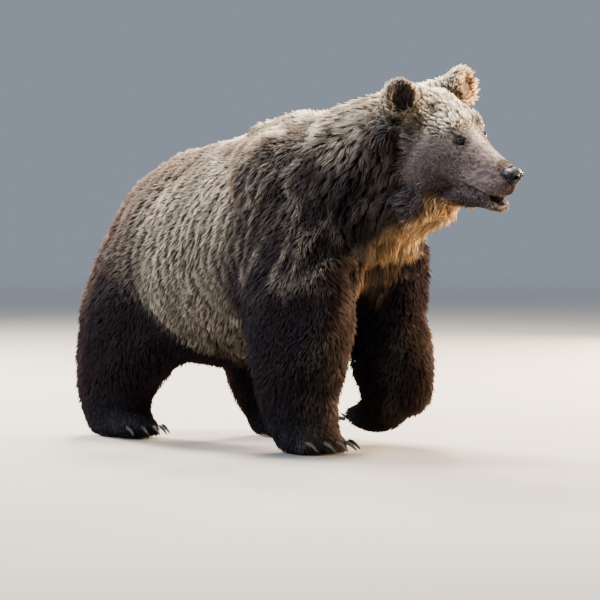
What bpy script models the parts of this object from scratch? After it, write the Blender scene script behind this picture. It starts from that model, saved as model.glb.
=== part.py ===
"""A brown bear in mid stride, life size, as a set of named solids.

The bear faces -Y, its left side is +X, and it stands on the floor z = 0. Its whole outline, out
to the tips of the coat, is built from overlapping masses of flesh and fur. They are merged into
one body, which thin cuts then part into the pieces that a person would name. Nose, eyes and
claws are solids of their own, set in sockets. All sizes are in metres.
"""

import math
from dataclasses import dataclass

import bmesh
import bpy
from mathutils import Matrix, Vector

# ---------------------------------------------------------------- driving dimensions

HUMP_HEIGHT = 1.04
BACK_HEIGHT = 0.955
BELLY_HEIGHT = 0.224
PAW_FOLD_AT = Vector((0.185, -0.358, 0.137))  # the middle of the folded sole
PAW_FOLD = math.radians(170)
FORELEG_X = 0.185  # how far each planted foot stands from the middle of the body
HINDLEG_X = 0.185

HEAD_AT = Vector((0.05, -0.709, 1.086))  # the point midway between the ears
HEAD_TURN = math.radians(8)  # the head looks to the bear's left
HEAD_DROP = math.radians(11)  # and a little down
HEAD_ROLL = math.radians(7)  # with its right ear lower than its left

EAR_X = 0.141
EAR_TURN = {-1: (-6, -18, -10), 1: (-6, 18, 10)}
EYE_AT = Vector((0.058, -0.186, -0.100))  # the left eye's centre, in the head's frame
EYE_RADIUS = 0.0115
CUT = 0.0004  # the gap that parts two neighbouring solids
BODY_GRAIN = 0.011  # the voxel at which the masses are merged
HEAD_GRAIN = 0.006
BODY_TRIANGLES = 1880
HEAD_TRIANGLES = 1180


@dataclass(frozen=True)
class Finish:
    """The look of one kind of surface: its linear colour and its roughness."""

    colour: tuple
    roughness: float


BODY_COAT = Finish((0.150, 0.105, 0.070), 0.85)
HEAD_COAT = Finish((0.200, 0.135, 0.085), 0.80)
LEG_COAT = Finish((0.035, 0.025, 0.022), 0.85)
NOSE_SKIN = Finish((0.012, 0.012, 0.014), 0.35)
EYE_GLOSS = Finish((0.020, 0.010, 0.006), 0.08)
CLAW_HORN = Finish((0.090, 0.065, 0.045), 0.45)
FINISH_OF = {
    "head": HEAD_COAT,
    "muzzle": HEAD_COAT,
    "jaw": HEAD_COAT,
    "ear": HEAD_COAT,
    "neck": HEAD_COAT,
    "chest": BODY_COAT,
    "belly": BODY_COAT,
    "rump": BODY_COAT,
    "tail": BODY_COAT,
    "upper": LEG_COAT,
    "forearm": LEG_COAT,
    "forepaw": LEG_COAT,
    "thigh": LEG_COAT,
    "shank": LEG_COAT,
    "hindpaw": LEG_COAT,
    "nose": NOSE_SKIN,
    "eye": EYE_GLOSS,
    "foreclaw": CLAW_HORN,
    "hindclaw": CLAW_HORN,
}

# ---------------------------------------------------------------- helpers


@dataclass(frozen=True)
class Ring:
    """A cross-section of a loft: its centre and its half sizes.

    wide runs along X. deep runs along Z in a loft that follows Y, and along Y in one that
    follows Z. With egg above 0 the section is narrower towards the top, or towards +Y.
    """

    x: float
    y: float
    z: float
    wide: float
    deep: float
    egg: float = 0.0

    def numbers(self):
        """The ring as plain numbers, for blending between rings."""
        return (self.x, self.y, self.z, self.wide, self.deep, self.egg)


def clear_scene():
    """Removes whatever the startup file holds."""
    for obj in list(bpy.data.objects):
        bpy.data.objects.remove(obj)


def new_collection(name):
    """A collection linked to the scene."""
    made = bpy.data.collections.new(name)
    bpy.context.scene.collection.children.link(made)
    return made


def object_of(mesh_builder, name, collection):
    """An object in the collection, whose mesh is taken from a bmesh."""
    mesh = bpy.data.meshes.new(name)
    mesh_builder.to_mesh(mesh)
    mesh_builder.free()
    obj = bpy.data.objects.new(name, mesh)
    collection.objects.link(obj)
    return obj


def smooth_rings(rings, steps):
    """The rings with others between them, on a Catmull-Rom curve through all their numbers."""
    numbers = [ring.numbers() for ring in rings]
    first = [2 * a - b for a, b in zip(numbers[0], numbers[1])]
    last = [2 * a - b for a, b in zip(numbers[-1], numbers[-2])]
    padded = [first, *numbers, last]
    made = []
    for i in range(1, len(padded) - 2):
        for step in range(steps):
            t = step / steps
            weights = (
                -0.5 * t + t**2 - 0.5 * t**3,
                1 - 2.5 * t**2 + 1.5 * t**3,
                0.5 * t + 2 * t**2 - 1.5 * t**3,
                -0.5 * t**2 + 0.5 * t**3,
            )
            columns = zip(*padded[i - 1 : i + 3])
            made.append(Ring(*[sum(w * v for w, v in zip(weights, c)) for c in columns]))
    made.append(rings[-1])
    return made


def loft(rings, axis, bulge=(0.5, 0.5), sides=28, steps=4, caps=4, place=None):
    """A closed bmesh skinned over the rings along Y or Z, with rounded ends.

    bulge says how far each end stands out, as a share of its mean radius.
    """
    rings = smooth_rings(rings, steps)
    deep_way = Vector((0, 0, 1)) if axis == "Y" else Vector((0, 1, 0))
    built = bmesh.new()

    def centre(ring):
        return Vector((ring.x, ring.y, ring.z))

    def section(ring, shift, size):
        points = []
        for k in range(sides):
            a = 2 * math.pi * k / sides
            wide = ring.wide * (1 - ring.egg * math.cos(a))
            offset = Vector((wide * math.sin(a), 0, 0)) + deep_way * (ring.deep * math.cos(a))
            points.append(built.verts.new(centre(ring) + shift + offset * size))
        return points

    def outwards(end, inner, share):
        way = (centre(end) - centre(inner)).normalized()
        return way * share * (end.wide + end.deep) / 2

    start = outwards(rings[0], rings[1], bulge[0])
    end = outwards(rings[-1], rings[-2], bulge[1])
    turns = [math.pi / 2 * k / caps for k in range(1, caps)]
    loops = [section(rings[0], start * math.sin(a), math.cos(a)) for a in reversed(turns)]
    loops += [section(ring, Vector(), 1) for ring in rings]
    loops += [section(rings[-1], end * math.sin(a), math.cos(a)) for a in turns]
    poles = [built.verts.new(centre(rings[0]) + start), built.verts.new(centre(rings[-1]) + end)]
    for k in range(sides):
        n = (k + 1) % sides
        for low, high in zip(loops, loops[1:]):
            built.faces.new((low[k], low[n], high[n], high[k]))
        built.faces.new((poles[0], loops[0][n], loops[0][k]))
        built.faces.new((poles[1], loops[-1][k], loops[-1][n]))
    if place is not None:
        bmesh.ops.transform(built, matrix=place, verts=built.verts)
    bmesh.ops.recalc_face_normals(built, faces=built.faces)
    return built


def placed(centre, sizes, turn, place):
    """The matrix that takes a unit shape to its place. turn is about X, then Y, then Z."""
    spin = [Matrix.Rotation(math.radians(a), 4, axis) for a, axis in zip(turn, "XYZ")]
    matrix = Matrix.Translation(centre) @ spin[2] @ spin[1] @ spin[0]
    matrix = matrix @ Matrix.Diagonal((*sizes, 1))
    return matrix if place is None else place @ matrix


def ellipsoid(centre, radii, turn=(0, 0, 0), place=None, fine=(24, 16)):
    """A closed bmesh ellipsoid. turn is its rotation in degrees."""
    built = bmesh.new()
    matrix = placed(centre, radii, turn, place)
    bmesh.ops.create_uvsphere(
        built, u_segments=fine[0], v_segments=fine[1], radius=1, matrix=matrix
    )
    return built


def box(centre, sides, turn=(0, 0, 0), place=None):
    """A closed bmesh box of these side lengths."""
    built = bmesh.new()
    bmesh.ops.create_cube(built, size=1, matrix=placed(centre, sides, turn, place))
    return built


def head_frame():
    """Places a point of the head's own frame, -Y to the nose, from midway between the ears."""
    turn = Matrix.Rotation(HEAD_TURN, 4, "Z")
    drop = Matrix.Rotation(HEAD_DROP, 4, "X")
    roll = Matrix.Rotation(-HEAD_ROLL, 4, "Y")
    return Matrix.Translation(HEAD_AT) @ turn @ drop @ roll


# ---------------------------------------------------------------- masses of flesh and coat


def slices(rows):
    """Rings along Y. Each row holds y, top, bottom, half width, egg, and a shift along X."""
    return [Ring(x, y, (top + low) / 2, wide, (top - low) / 2, egg)
            for y, top, low, wide, egg, x in rows]


def trunk_masses():
    """The barrel from the rump to the back of the skull, with the hump over the shoulders."""
    rows = [
        (0.60, 0.655, 0.44, 0.10, 0.05, 0),
        (0.54, 0.745, 0.37, 0.165, 0.06, 0),
        (0.45, 0.828, 0.29, 0.238, 0.10, 0),
        (0.34, 0.885, 0.236, 0.288, 0.14, 0),
        (0.18, 0.930, BELLY_HEIGHT, 0.320, 0.18, 0),
        (0.02, BACK_HEIGHT, BELLY_HEIGHT, 0.325, 0.20, 0),
        (-0.09, 0.992, 0.26, 0.315, 0.22, 0),
        (-0.20, HUMP_HEIGHT, 0.31, 0.300, 0.24, 0),
        (-0.32, 1.030, 0.38, 0.290, 0.20, 0),
        (-0.42, 1.052, 0.46, 0.270, 0.14, 0.005),
        (-0.52, 1.090, 0.535, 0.236, 0.06, 0.012),
        (-0.61, 1.108, 0.625, 0.204, 0.0, 0.025),
        (-0.68, 1.105, 0.71, 0.180, 0.0, 0.04),
    ]
    return [loft(slices(rows), "Y", bulge=(0.35, 0.3))]


def limb(side, rows):
    """A loft down Z. Each row holds the distance from the middle, y, z, and two half sizes."""
    rings = [Ring(side * x, y, z, wide, deep) for x, y, z, wide, deep in rows]
    return loft(rings, "Z", bulge=(0.5, 0.25))


RIGHT_FORELEG = [
    (0.165, -0.355, 0.70, 0.125, 0.190),
    (0.180, -0.385, 0.56, 0.152, 0.200),
    (0.187, -0.405, 0.43, 0.155, 0.190),
    (0.187, -0.405, 0.30, 0.143, 0.180),
    (0.185, -0.390, 0.18, 0.128, 0.152),
    (0.185, -0.400, 0.09, 0.112, 0.128),
]
LEFT_FORELEG = [
    (0.165, -0.335, 0.70, 0.125, 0.190),
    (0.185, -0.345, 0.56, 0.148, 0.185),
    (0.190, -0.355, 0.43, 0.138, 0.155),
    (0.188, -0.395, 0.33, 0.124, 0.152),
    (0.185, -0.415, 0.25, 0.115, 0.160),
    (0.185, -0.425, 0.20, 0.110, 0.150),
    (0.185, -0.448, 0.15, 0.104, 0.122),
    (0.185, -0.420, 0.095, 0.092, 0.098),
]
RIGHT_HINDLEG = [
    (0.150, 0.270, 0.66, 0.130, 0.220),
    (0.175, 0.308, 0.52, 0.152, 0.240),
    (0.190, 0.358, 0.40, 0.148, 0.215),
    (0.192, 0.380, 0.29, 0.135, 0.222),
    (0.190, 0.433, 0.18, 0.119, 0.180),
    (0.187, 0.470, 0.09, 0.100, 0.130),
]
LEFT_HINDLEG = [
    (0.150, 0.270, 0.66, 0.130, 0.220),
    (0.175, 0.275, 0.52, 0.148, 0.225),
    (0.188, 0.250, 0.40, 0.140, 0.190),
    (0.190, 0.225, 0.29, 0.122, 0.150),
    (0.188, 0.200, 0.18, 0.106, 0.125),
    (0.185, 0.165, 0.09, 0.095, 0.110),
]


def leg_masses():
    """The four legs, with the muscle of each shoulder and haunch, and the ruff at the throat."""
    return [
        limb(-1, RIGHT_FORELEG),
        limb(1, LEFT_FORELEG),
        limb(-1, RIGHT_HINDLEG),
        limb(1, LEFT_HINDLEG),
        ellipsoid((-0.165, -0.300, 0.74), (0.135, 0.185, 0.25), (-14, 0, 0)),
        ellipsoid((0.165, -0.285, 0.74), (0.135, 0.185, 0.25), (-10, 0, 0)),
        ellipsoid((0.045, -0.695, 0.785), (0.145, 0.145, 0.135)),
        ellipsoid((-0.145, 0.280, 0.57), (0.160, 0.205, 0.24), (12, 0, 0)),
        ellipsoid((0.145, 0.275, 0.57), (0.160, 0.205, 0.24)),
    ]


def foot_masses(paw):
    """A flat-soled foot in its own frame, -Y to the toes: the sole and five toes in an arc."""
    centre, radii = (0, 0, paw.height * 0.8), (paw.width / 2, paw.length / 2, paw.height)
    made = [ellipsoid(centre, radii, place=paw.place)]
    for k in range(-2, 3):
        toe = toe_at(paw, k)
        radii = (paw.width * 0.125, 0.040, paw.height * 0.62)
        made.append(ellipsoid(toe, radii, place=paw.place))
    return made


def toe_at(paw, k):
    """The middle of toe k, from -2 to 2, in the foot's own frame."""
    return Vector((k * paw.width * 0.215, paw.toe_y + 0.010 * k * k, paw.height * 0.50))


@dataclass(frozen=True)
class Paw:
    """A foot: where it stands, its size, its row of toes and the length of its claws."""

    name: str
    place: Matrix
    length: float
    width: float
    height: float
    toe_y: float
    claw: float


def folded_place():
    """Where the lifted forepaw is, folded back under its wrist, just off the ground."""
    return Matrix.Translation(PAW_FOLD_AT) @ Matrix.Rotation(PAW_FOLD, 4, "X")


def paws():
    """The four paws, of which the left forepaw is lifted."""
    planted = Matrix.Translation((-FORELEG_X, -0.425, 0))
    pushing = Matrix.Translation((-HINDLEG_X, 0.450, 0))
    landed = Matrix.Translation((HINDLEG_X, 0.100, 0))
    return [
        Paw("forepaw_right", planted, 0.25, 0.200, 0.058, -0.115, 0.062),
        Paw("forepaw_left", folded_place(), 0.24, 0.190, 0.058, -0.105, 0.062),
        Paw("hindpaw_right", pushing, 0.31, 0.170, 0.055, -0.140, 0.042),
        Paw("hindpaw_left", landed, 0.31, 0.170, 0.055, -0.140, 0.042),
    ]


def head_masses(place):
    """The skull with its muzzle, the lower jaw, the cheeks and the brows."""
    skull = [
        (0.10, 0.000, -0.27, 0.135, 0.0, 0),
        (0.02, 0.028, -0.31, 0.158, 0.0, 0),
        (-0.05, 0.024, -0.31, 0.152, 0.0, 0),
        (-0.11, -0.004, -0.30, 0.130, 0.02, 0),
        (-0.16, -0.040, -0.285, 0.106, 0.05, 0),
        (-0.205, -0.082, -0.272, 0.085, 0.08, 0),
        (-0.25, -0.117, -0.262, 0.071, 0.06, 0),
        (-0.30, -0.141, -0.252, 0.060, 0.04, 0),
        (-0.335, -0.151, -0.238, 0.046, 0.02, 0),
    ]
    jaw = [
        (-0.05, -0.23, -0.350, 0.100, -0.05, 0),
        (-0.13, -0.23, -0.338, 0.078, -0.05, 0),
        (-0.20, -0.235, -0.318, 0.058, -0.05, 0),
        (-0.26, -0.240, -0.304, 0.044, 0.0, 0),
        (-0.303, -0.248, -0.301, 0.035, 0.0, 0),
    ]
    made = [
        loft(slices(skull), "Y", bulge=(0.4, 0.35), place=place),
        loft(slices(jaw), "Y", bulge=(0.5, 0.7), place=place),
        ellipsoid((0, 0.02, -0.22), (0.160, 0.130, 0.150), place=place),
    ]
    for side in (-1, 1):
        made.append(
            ellipsoid((side * 0.078, -0.055, -0.205), (0.086, 0.120, 0.118), (12, 0, 0), place)
        )
        made.append(
            ellipsoid((side * 0.050, -0.140, -0.072), (0.038, 0.048, 0.030), (28, 0, 0), place)
        )
    return made


def ear_centre(side):
    """The middle of the right ear, for side -1, or of the left, in the head's frame."""
    return Vector((side * EAR_X, -0.002, -0.004))


def ear_masses(side, place):
    """A round ear on its thick root, at the corner of the skull, open forwards and outwards."""
    root = ellipsoid((side * 0.116, 0.012, -0.042), (0.060, 0.048, 0.056), (0, side * 20, 0), place)
    return [root, ellipsoid(ear_centre(side), (0.064, 0.044, 0.066), EAR_TURN[side], place)]


def body_masses():
    """Every mass of flesh and coat, as closed bmeshes that overlap."""
    head = head_frame()
    made = trunk_masses() + leg_masses() + head_masses(head)
    for paw in paws():
        made += foot_masses(paw)
    for side in (-1, 1):
        made += ear_masses(side, head)
    made.append(ellipsoid((0, 0.600, 0.610), (0.040, 0.040, 0.070), (-10, 0, 0)))
    return made


# ---------------------------------------------------------------- merging and cutting


def bake_modifiers(obj):
    """Makes the object's evaluated mesh its own, and drops its modifiers."""
    bpy.context.view_layer.update()
    graph = bpy.context.evaluated_depsgraph_get()
    mesh = bpy.data.meshes.new_from_object(obj.evaluated_get(graph))
    obj.modifiers.clear()
    obj.data = mesh
    return obj


def merged(masses, name, collection, grain, rounds):
    """One closed, smoothed skin round all the masses."""
    whole = bmesh.new()
    for mass in masses:
        piece = bpy.data.meshes.new("piece")
        mass.to_mesh(piece)
        mass.free()
        whole.from_mesh(piece)
        bpy.data.meshes.remove(piece)
    obj = object_of(whole, name, collection)
    remesh = obj.modifiers.new("Remesh", "REMESH")
    remesh.mode, remesh.voxel_size = "VOXEL", grain
    smooth = obj.modifiers.new("Smooth", "SMOOTH")
    smooth.factor, smooth.iterations = 0.5, rounds
    return bake_modifiers(obj)


def applied(obj, kind, cutter, cutters):
    """Applies one Boolean to the object with a bmesh cutter, which is then thrown away."""
    tool = object_of(cutter, "cutter", cutters)
    tool.display_type, tool.hide_render = "WIRE", True
    step = obj.modifiers.new(kind, "BOOLEAN")
    step.operation, step.solver, step.object = kind, "EXACT", tool
    bake_modifiers(obj)
    bpy.data.objects.remove(tool)
    return keep_largest(obj)


def keep_largest(obj):
    """Leaves only the largest connected body of the mesh, and welds what coincides."""
    mesh = bmesh.new()
    mesh.from_mesh(obj.data)
    bmesh.ops.remove_doubles(mesh, verts=mesh.verts, dist=1e-6)
    left, bodies = set(mesh.verts), []
    while left:
        body, edge = set(), [left.pop()]
        while edge:
            vert = edge.pop()
            body.add(vert)
            for link in vert.link_edges:
                other = link.other_vert(vert)
                if other in left:
                    left.remove(other)
                    edge.append(other)
        bodies.append(body)
    bodies.sort(key=len)
    spare = [vert for body in bodies[:-1] for vert in body]
    bmesh.ops.delete(mesh, geom=spare, context="VERTS")
    mesh.to_mesh(obj.data)
    mesh.free()
    return obj


def decimated(obj, triangles):
    """Collapses the mesh to about this many triangles."""
    step = obj.modifiers.new("Decimate", "DECIMATE")
    step.ratio = triangles / sum(len(face.vertices) - 2 for face in obj.data.polygons)
    return bake_modifiers(obj)


class Carver:
    """Takes named pieces off a body one by one, leaving a thin gap round each."""

    def __init__(self, body, pieces, cutters):
        self.body, self.pieces, self.cutters = body, pieces, cutters

    def take(self, name, cutter):
        """The part of the body inside the cutter, as an object. cutter(grow) makes a bmesh."""
        piece = bpy.data.objects.new(name, self.body.data.copy())
        self.pieces.objects.link(piece)
        applied(piece, "INTERSECT", cutter(0), self.cutters)
        applied(self.body, "DIFFERENCE", cutter(CUT), self.cutters)
        return piece

    def leave(self, name):
        """Names whatever is left of the body."""
        self.body.name = name
        return self.body


def box_cutter(centre, sides, turn=(0, 0, 0), place=None):
    """A cutter for Carver.take, in the shape of a box."""
    return lambda grow: box(centre, [side + 2 * grow for side in sides], turn, place)


def ball_cutter(centre, radii, turn=(0, 0, 0), place=None):
    """A cutter for Carver.take, in the shape of an ellipsoid."""
    return lambda grow: ellipsoid(centre, [r + grow for r in radii], turn, place, (8, 6))


def limb_cutter(side, rows, low, high):
    """A cutter for Carver.take that wraps a limb between two heights."""
    kept = [row for row in rows if low <= row[2] <= high]

    def made(grow):
        spread = 0.030 + grow
        rings = [Ring(side * x, y, z, wide + spread, deep + spread) for x, y, z, wide, deep in kept]
        wrap = loft(rings, "Z", bulge=(0.25, 0.05), sides=8, steps=1, caps=1)
        bmesh.ops.triangulate(wrap, faces=wrap.faces, quad_method="FIXED")
        return wrap

    return made


def carve_legs(carver):
    """The paws, the lower legs and the upper legs, from the ground up."""
    side = {"right": -1, "left": 1}
    flat = (0.28, 0.36, 0.24)
    carver.take("forepaw_right", box_cutter((-FORELEG_X, -0.43, -0.005), flat))
    carver.take("hindpaw_right", box_cutter((-HINDLEG_X, 0.45, -0.005), flat))
    carver.take("hindpaw_left", box_cutter((HINDLEG_X, 0.12, -0.005), flat))
    wrist = (0, -0.10, 0.085)
    carver.take("forepaw_left", box_cutter(wrist, (0.28, 0.30, 0.23), place=folded_place()))
    for name, rows in (("right", RIGHT_FORELEG), ("left", LEFT_FORELEG)):
        middle = (side[name] * 0.225, -0.375, 0.575)
        carver.take(f"upper_arm_{name}", ball_cutter(middle, (0.165, 0.215, 0.245), (-8, 0, 0)))
        carver.take(f"forearm_{name}", limb_cutter(side[name], rows, 0.08, 0.44))
    for name, rows in (("right", RIGHT_HINDLEG), ("left", LEFT_HINDLEG)):
        middle = (side[name] * 0.225, 0.290, 0.505)
        carver.take(f"thigh_{name}", ball_cutter(middle, (0.165, 0.225, 0.225), (4, 0, 0)))
        carver.take(f"shank_{name}", limb_cutter(side[name], rows, 0.08, 0.41))


def carve_trunk(carver):
    """The tail, neck, chest and belly, which leave the rump."""
    carver.take("tail", ball_cutter((0, 0.625, 0.610), (0.048, 0.062, 0.085), (-10, 0, 0)))
    carver.take("neck", box_cutter((0, -0.8905, 1.2694), (1.2, 1.0, 1.6), (-19.8, 0, 0)))
    carver.take("chest", box_cutter((0, -0.46, 0.60), (1.2, 0.80, 1.4)))
    carver.take("belly", box_cutter((0, 0.07, 0.60), (1.2, 0.26, 1.4)))
    carver.leave("rump")


def carve_head(carver, place):
    """The ears, lower jaw and muzzle, which leave the head."""
    for side, name in ((-1, "right"), (1, "left")):
        cup = placed(ear_centre(side), (1, 1, 1), EAR_TURN[side], place)
        hollow = ellipsoid((0, -0.043, 0.006), (0.043, 0.036, 0.050), place=cup, fine=(10, 6))
        applied(carver.body, "DIFFERENCE", hollow, carver.cutters)
        carver.take(f"ear_{name}", ball_cutter((0, 0, 0), (0.073, 0.058, 0.078), place=cup))
    lips = placed((0, -0.214, -0.227), (1, 1, 1), (16.5, 0, 0), place)
    jaw = carver.take("jaw", box_cutter((0, -0.050, -0.075), (0.4, 0.28, 0.15), place=lips))
    gape = placed((0, -0.276, -0.246), (1, 1, 1), (36, 0, 0), place)
    applied(jaw, "DIFFERENCE", box((0, -0.1, 0.03), (0.4, 0.2, 0.06), place=gape), carver.cutters)
    carver.take("muzzle", box_cutter((0, -0.365, -0.10), (0.4, 0.30, 0.40), (8, 0, 0), place))
    carver.leave("head")


def nose_pad(place, grow):
    """The nose, as a rounded block at the end of the muzzle."""
    rows = [
        (-0.318 + grow, -0.163 + grow, -0.198 - grow, 0.024 + grow, 0.0, 0),
        (-0.343, -0.157 + grow, -0.203 - grow, 0.031 + grow, -0.08, 0),
        (-0.361, -0.160 + grow, -0.201 - grow, 0.028 + grow, -0.08, 0),
    ]
    return loft(slices(rows), "Y", bulge=(0.0, 0.42), sides=12, steps=1, caps=2, place=place)


def claw(paw, k, grow):
    """Claw k of a paw, from -2 to 2: a horn that leaves the toe and bends to the ground."""
    toe = toe_at(paw, k)
    rings = []
    for t in (0, 0.45, 0.8):
        y = toe.y - 0.026 - paw.claw * t
        z = toe.z + 0.011 - 0.034 * t * t
        size = 1 - 0.75 * t * t
        rings.append(Ring(toe.x, y, z, 0.0062 * size + grow, 0.0085 * size + grow))
    return loft(rings, "Y", bulge=(0.0, 1.6), sides=6, steps=1, caps=1, place=paw.place)


def add_claws(pieces, cutters):
    """Sets five claws in each paw, and names them from the bear's right to its left."""
    for paw in paws():
        toes = bpy.data.objects[paw.name]
        for k in range(-2, 3):
            applied(toes, "DIFFERENCE", claw(paw, k, CUT), cutters)
            object_of(claw(paw, k, 0), paw.name.replace("paw", "claw") + f"_{k + 3}", pieces)


def add_face(pieces, cutters, place):
    """Sets the nose and both eyes in their sockets."""
    for name in ("muzzle", "jaw", "head"):
        applied(bpy.data.objects[name], "DIFFERENCE", nose_pad(place, CUT), cutters)
    nose = object_of(nose_pad(place, 0), "nose", pieces)
    for side, name in ((-1, "right"), (1, "left")):
        nostril = (side * 0.015, -0.375, -0.178)
        hole = ellipsoid(nostril, (0.007, 0.014, 0.009), place=place, fine=(8, 6))
        applied(nose, "DIFFERENCE", hole, cutters)
        centre = (side * EYE_AT.x, EYE_AT.y, EYE_AT.z)
        socket = ellipsoid(centre, [EYE_RADIUS + CUT] * 3, place=place, fine=(10, 7))
        applied(bpy.data.objects["head"], "DIFFERENCE", socket, cutters)
        ball = ellipsoid(centre, [EYE_RADIUS] * 3, place=place, fine=(10, 7))
        object_of(ball, f"eye_{name}", pieces)


def finish(pieces):
    """Gives every piece a material of its own, by the first word of its name."""
    for obj in pieces.objects:
        look = FINISH_OF[obj.name.split("_")[0]]
        made = bpy.data.materials.new(obj.name)
        made.use_nodes = True
        shader = made.node_tree.nodes["Principled BSDF"]
        shader.inputs["Base Color"].default_value = (*look.colour, 1)
        shader.inputs["Roughness"].default_value = look.roughness
        obj.data.materials.clear()
        obj.data.materials.append(made)


def stand(pieces):
    """Centres all the pieces over the origin."""
    points = [corner for obj in pieces.objects for corner in obj.bound_box]
    middle = [(min(p[i] for p in points) + max(p[i] for p in points)) / 2 for i in (0, 1)]
    for obj in pieces.objects:
        obj.data.transform(Matrix.Translation((-middle[0], -middle[1], 0)))


def main():
    """Builds the bear."""
    clear_scene()
    pieces, cutters = new_collection("brown_bear"), new_collection("cutters")
    place = head_frame()
    fine = merged(body_masses(), "fine", pieces, HEAD_GRAIN, 12)
    around = box((0, -0.22, -0.10), (0.7, 0.72, 0.82), (-18.6, 0, 0), place)
    applied(fine, "INTERSECT", around, cutters)
    decimated(fine, HEAD_TRIANGLES)
    body = merged(body_masses(), "body", pieces, BODY_GRAIN, 14)
    decimated(body, BODY_TRIANGLES)
    applied(body, "DIFFERENCE", box((0, 0, -0.5), (4, 4, 1)), cutters)
    neckline = box_cutter((0, -0.253, 0.0246), (0.8, 0.60, 0.75), (-18.6, 0, 0), place)
    applied(fine, "INTERSECT", neckline(0), cutters)
    applied(body, "DIFFERENCE", neckline(CUT), cutters)
    carver = Carver(body, pieces, cutters)
    carve_legs(carver)
    carve_trunk(carver)
    carve_head(Carver(fine, pieces, cutters), place)
    add_face(pieces, cutters, place)
    add_claws(pieces, cutters)
    stand(pieces)
    finish(pieces)


if __name__ == "__main__":
    main()
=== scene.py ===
"""The looks of a life-size brown bear: one skin, a coat of solid tufts, its face and its claws.

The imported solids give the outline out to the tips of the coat. One skin is fused from them, set
back by the coat's depth and sculpted into a face, and tufts of fur grow on it along the lie of
the coat. Every size is in metres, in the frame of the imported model: the bear faces -Y, its left
side is +X and it stands on the floor z = 0.
"""

import logging
import math
from dataclasses import dataclass
from enum import Enum

import bmesh
import bpy
import numpy as np
from mathutils import Matrix, Vector
from mathutils.bvhtree import BVHTree
from mathutils.kdtree import KDTree


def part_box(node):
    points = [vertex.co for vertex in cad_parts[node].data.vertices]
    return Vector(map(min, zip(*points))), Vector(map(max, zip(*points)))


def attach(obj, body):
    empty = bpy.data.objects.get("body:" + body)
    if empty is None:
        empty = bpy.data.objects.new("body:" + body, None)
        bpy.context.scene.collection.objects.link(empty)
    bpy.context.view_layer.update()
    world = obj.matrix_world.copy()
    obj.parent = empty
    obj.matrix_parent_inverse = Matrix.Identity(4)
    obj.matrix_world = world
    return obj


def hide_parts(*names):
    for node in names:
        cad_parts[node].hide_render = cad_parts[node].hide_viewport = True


LOG = logging.getLogger("brown_bear")
Array = np.ndarray
Vec = tuple[float, float, float]
X, Y, Z = range(3)
SAME_PLACE = 1e-6  # points nearer than this are one
TINY = 1e-9  # keeps a division from being by 0

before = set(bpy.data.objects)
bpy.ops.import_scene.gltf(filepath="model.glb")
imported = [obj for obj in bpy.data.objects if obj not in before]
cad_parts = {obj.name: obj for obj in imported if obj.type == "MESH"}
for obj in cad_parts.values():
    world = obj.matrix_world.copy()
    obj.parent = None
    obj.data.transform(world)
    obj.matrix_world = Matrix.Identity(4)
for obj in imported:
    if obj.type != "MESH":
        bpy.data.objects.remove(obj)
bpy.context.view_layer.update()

# ---------------------------------------------------------------- numbers on arrays of points


def ramp(values: Array, low: float, high: float) -> Array:
    """A smooth step from 0 at low to 1 at high, which may be the smaller."""
    t = np.clip((values - low) / (high - low), 0.0, 1.0)
    return t * t * (3 - 2 * t)


def bell(values: Array, width: float) -> Array:
    """A bell curve that is 1 at 0 and falls to 0.37 at the width."""
    return np.exp(-((values / width) ** 2))


def unit(vectors: Array) -> Array:
    """The vectors, each scaled to length 1."""
    return vectors / np.maximum(np.linalg.norm(vectors, axis=1, keepdims=True), TINY)


def size_of(vectors: Array) -> Array:
    """The length of each row."""
    return np.linalg.norm(vectors, axis=1)


def laid_along(ways: Array, normals: Array) -> Array:
    """The directions, each turned to lie along the surface with its normal."""
    return unit(ways - normals * (ways * normals).sum(axis=1)[:, None])


def blend(low: Array, high: Array, share: Array) -> Array:
    """Goes from low to high, number by number or row by row, as share goes from 0 to 1."""
    return low + (high - low) * (share if low.ndim == 1 else share[:, None])


WAVES = 7
WAVES_TOP = 2.6  # what the sum of so many waves seldom passes


def waves(points: Array, size: float, seed: int) -> Array:
    """Smooth random numbers, about -1 to 1, that vary over the given size in space.

    Args:
        points: Where to read them, one row a point.
        size: The distance over which they change.
        seed: Picks one pattern.

    Returns:
        One number for each point.
    """
    draw = np.random.default_rng(seed)
    total = np.zeros(len(points))
    for _ in range(WAVES):
        way = draw.normal(size=3)
        way *= draw.uniform(0.7, 1.5) / (np.linalg.norm(way) * size)
        total += np.sin(2 * np.pi * (points @ way) * 0.5 + draw.uniform(0, 2 * np.pi))
    return total / WAVES_TOP


def cells(points: Array, size: float, seed: int) -> Array:
    """Three independent waves for each point, as a vector field."""
    return np.stack([waves(points, size, seed + k) for k in range(3)], axis=1)


@dataclass(frozen=True)
class Zone:
    """A soft-edged region: each step runs along one axis, from 0 at a place to 1 at another."""

    steps: tuple[tuple[int, float, float], ...]

    def share(self, points: Array) -> Array:
        """How far inside the region each point is: the product of the steps."""
        return np.prod([ramp(points[:, axis], out, into) for axis, out, into in self.steps], axis=0)


# ---------------------------------------------------------------- the head's own frame


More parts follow.
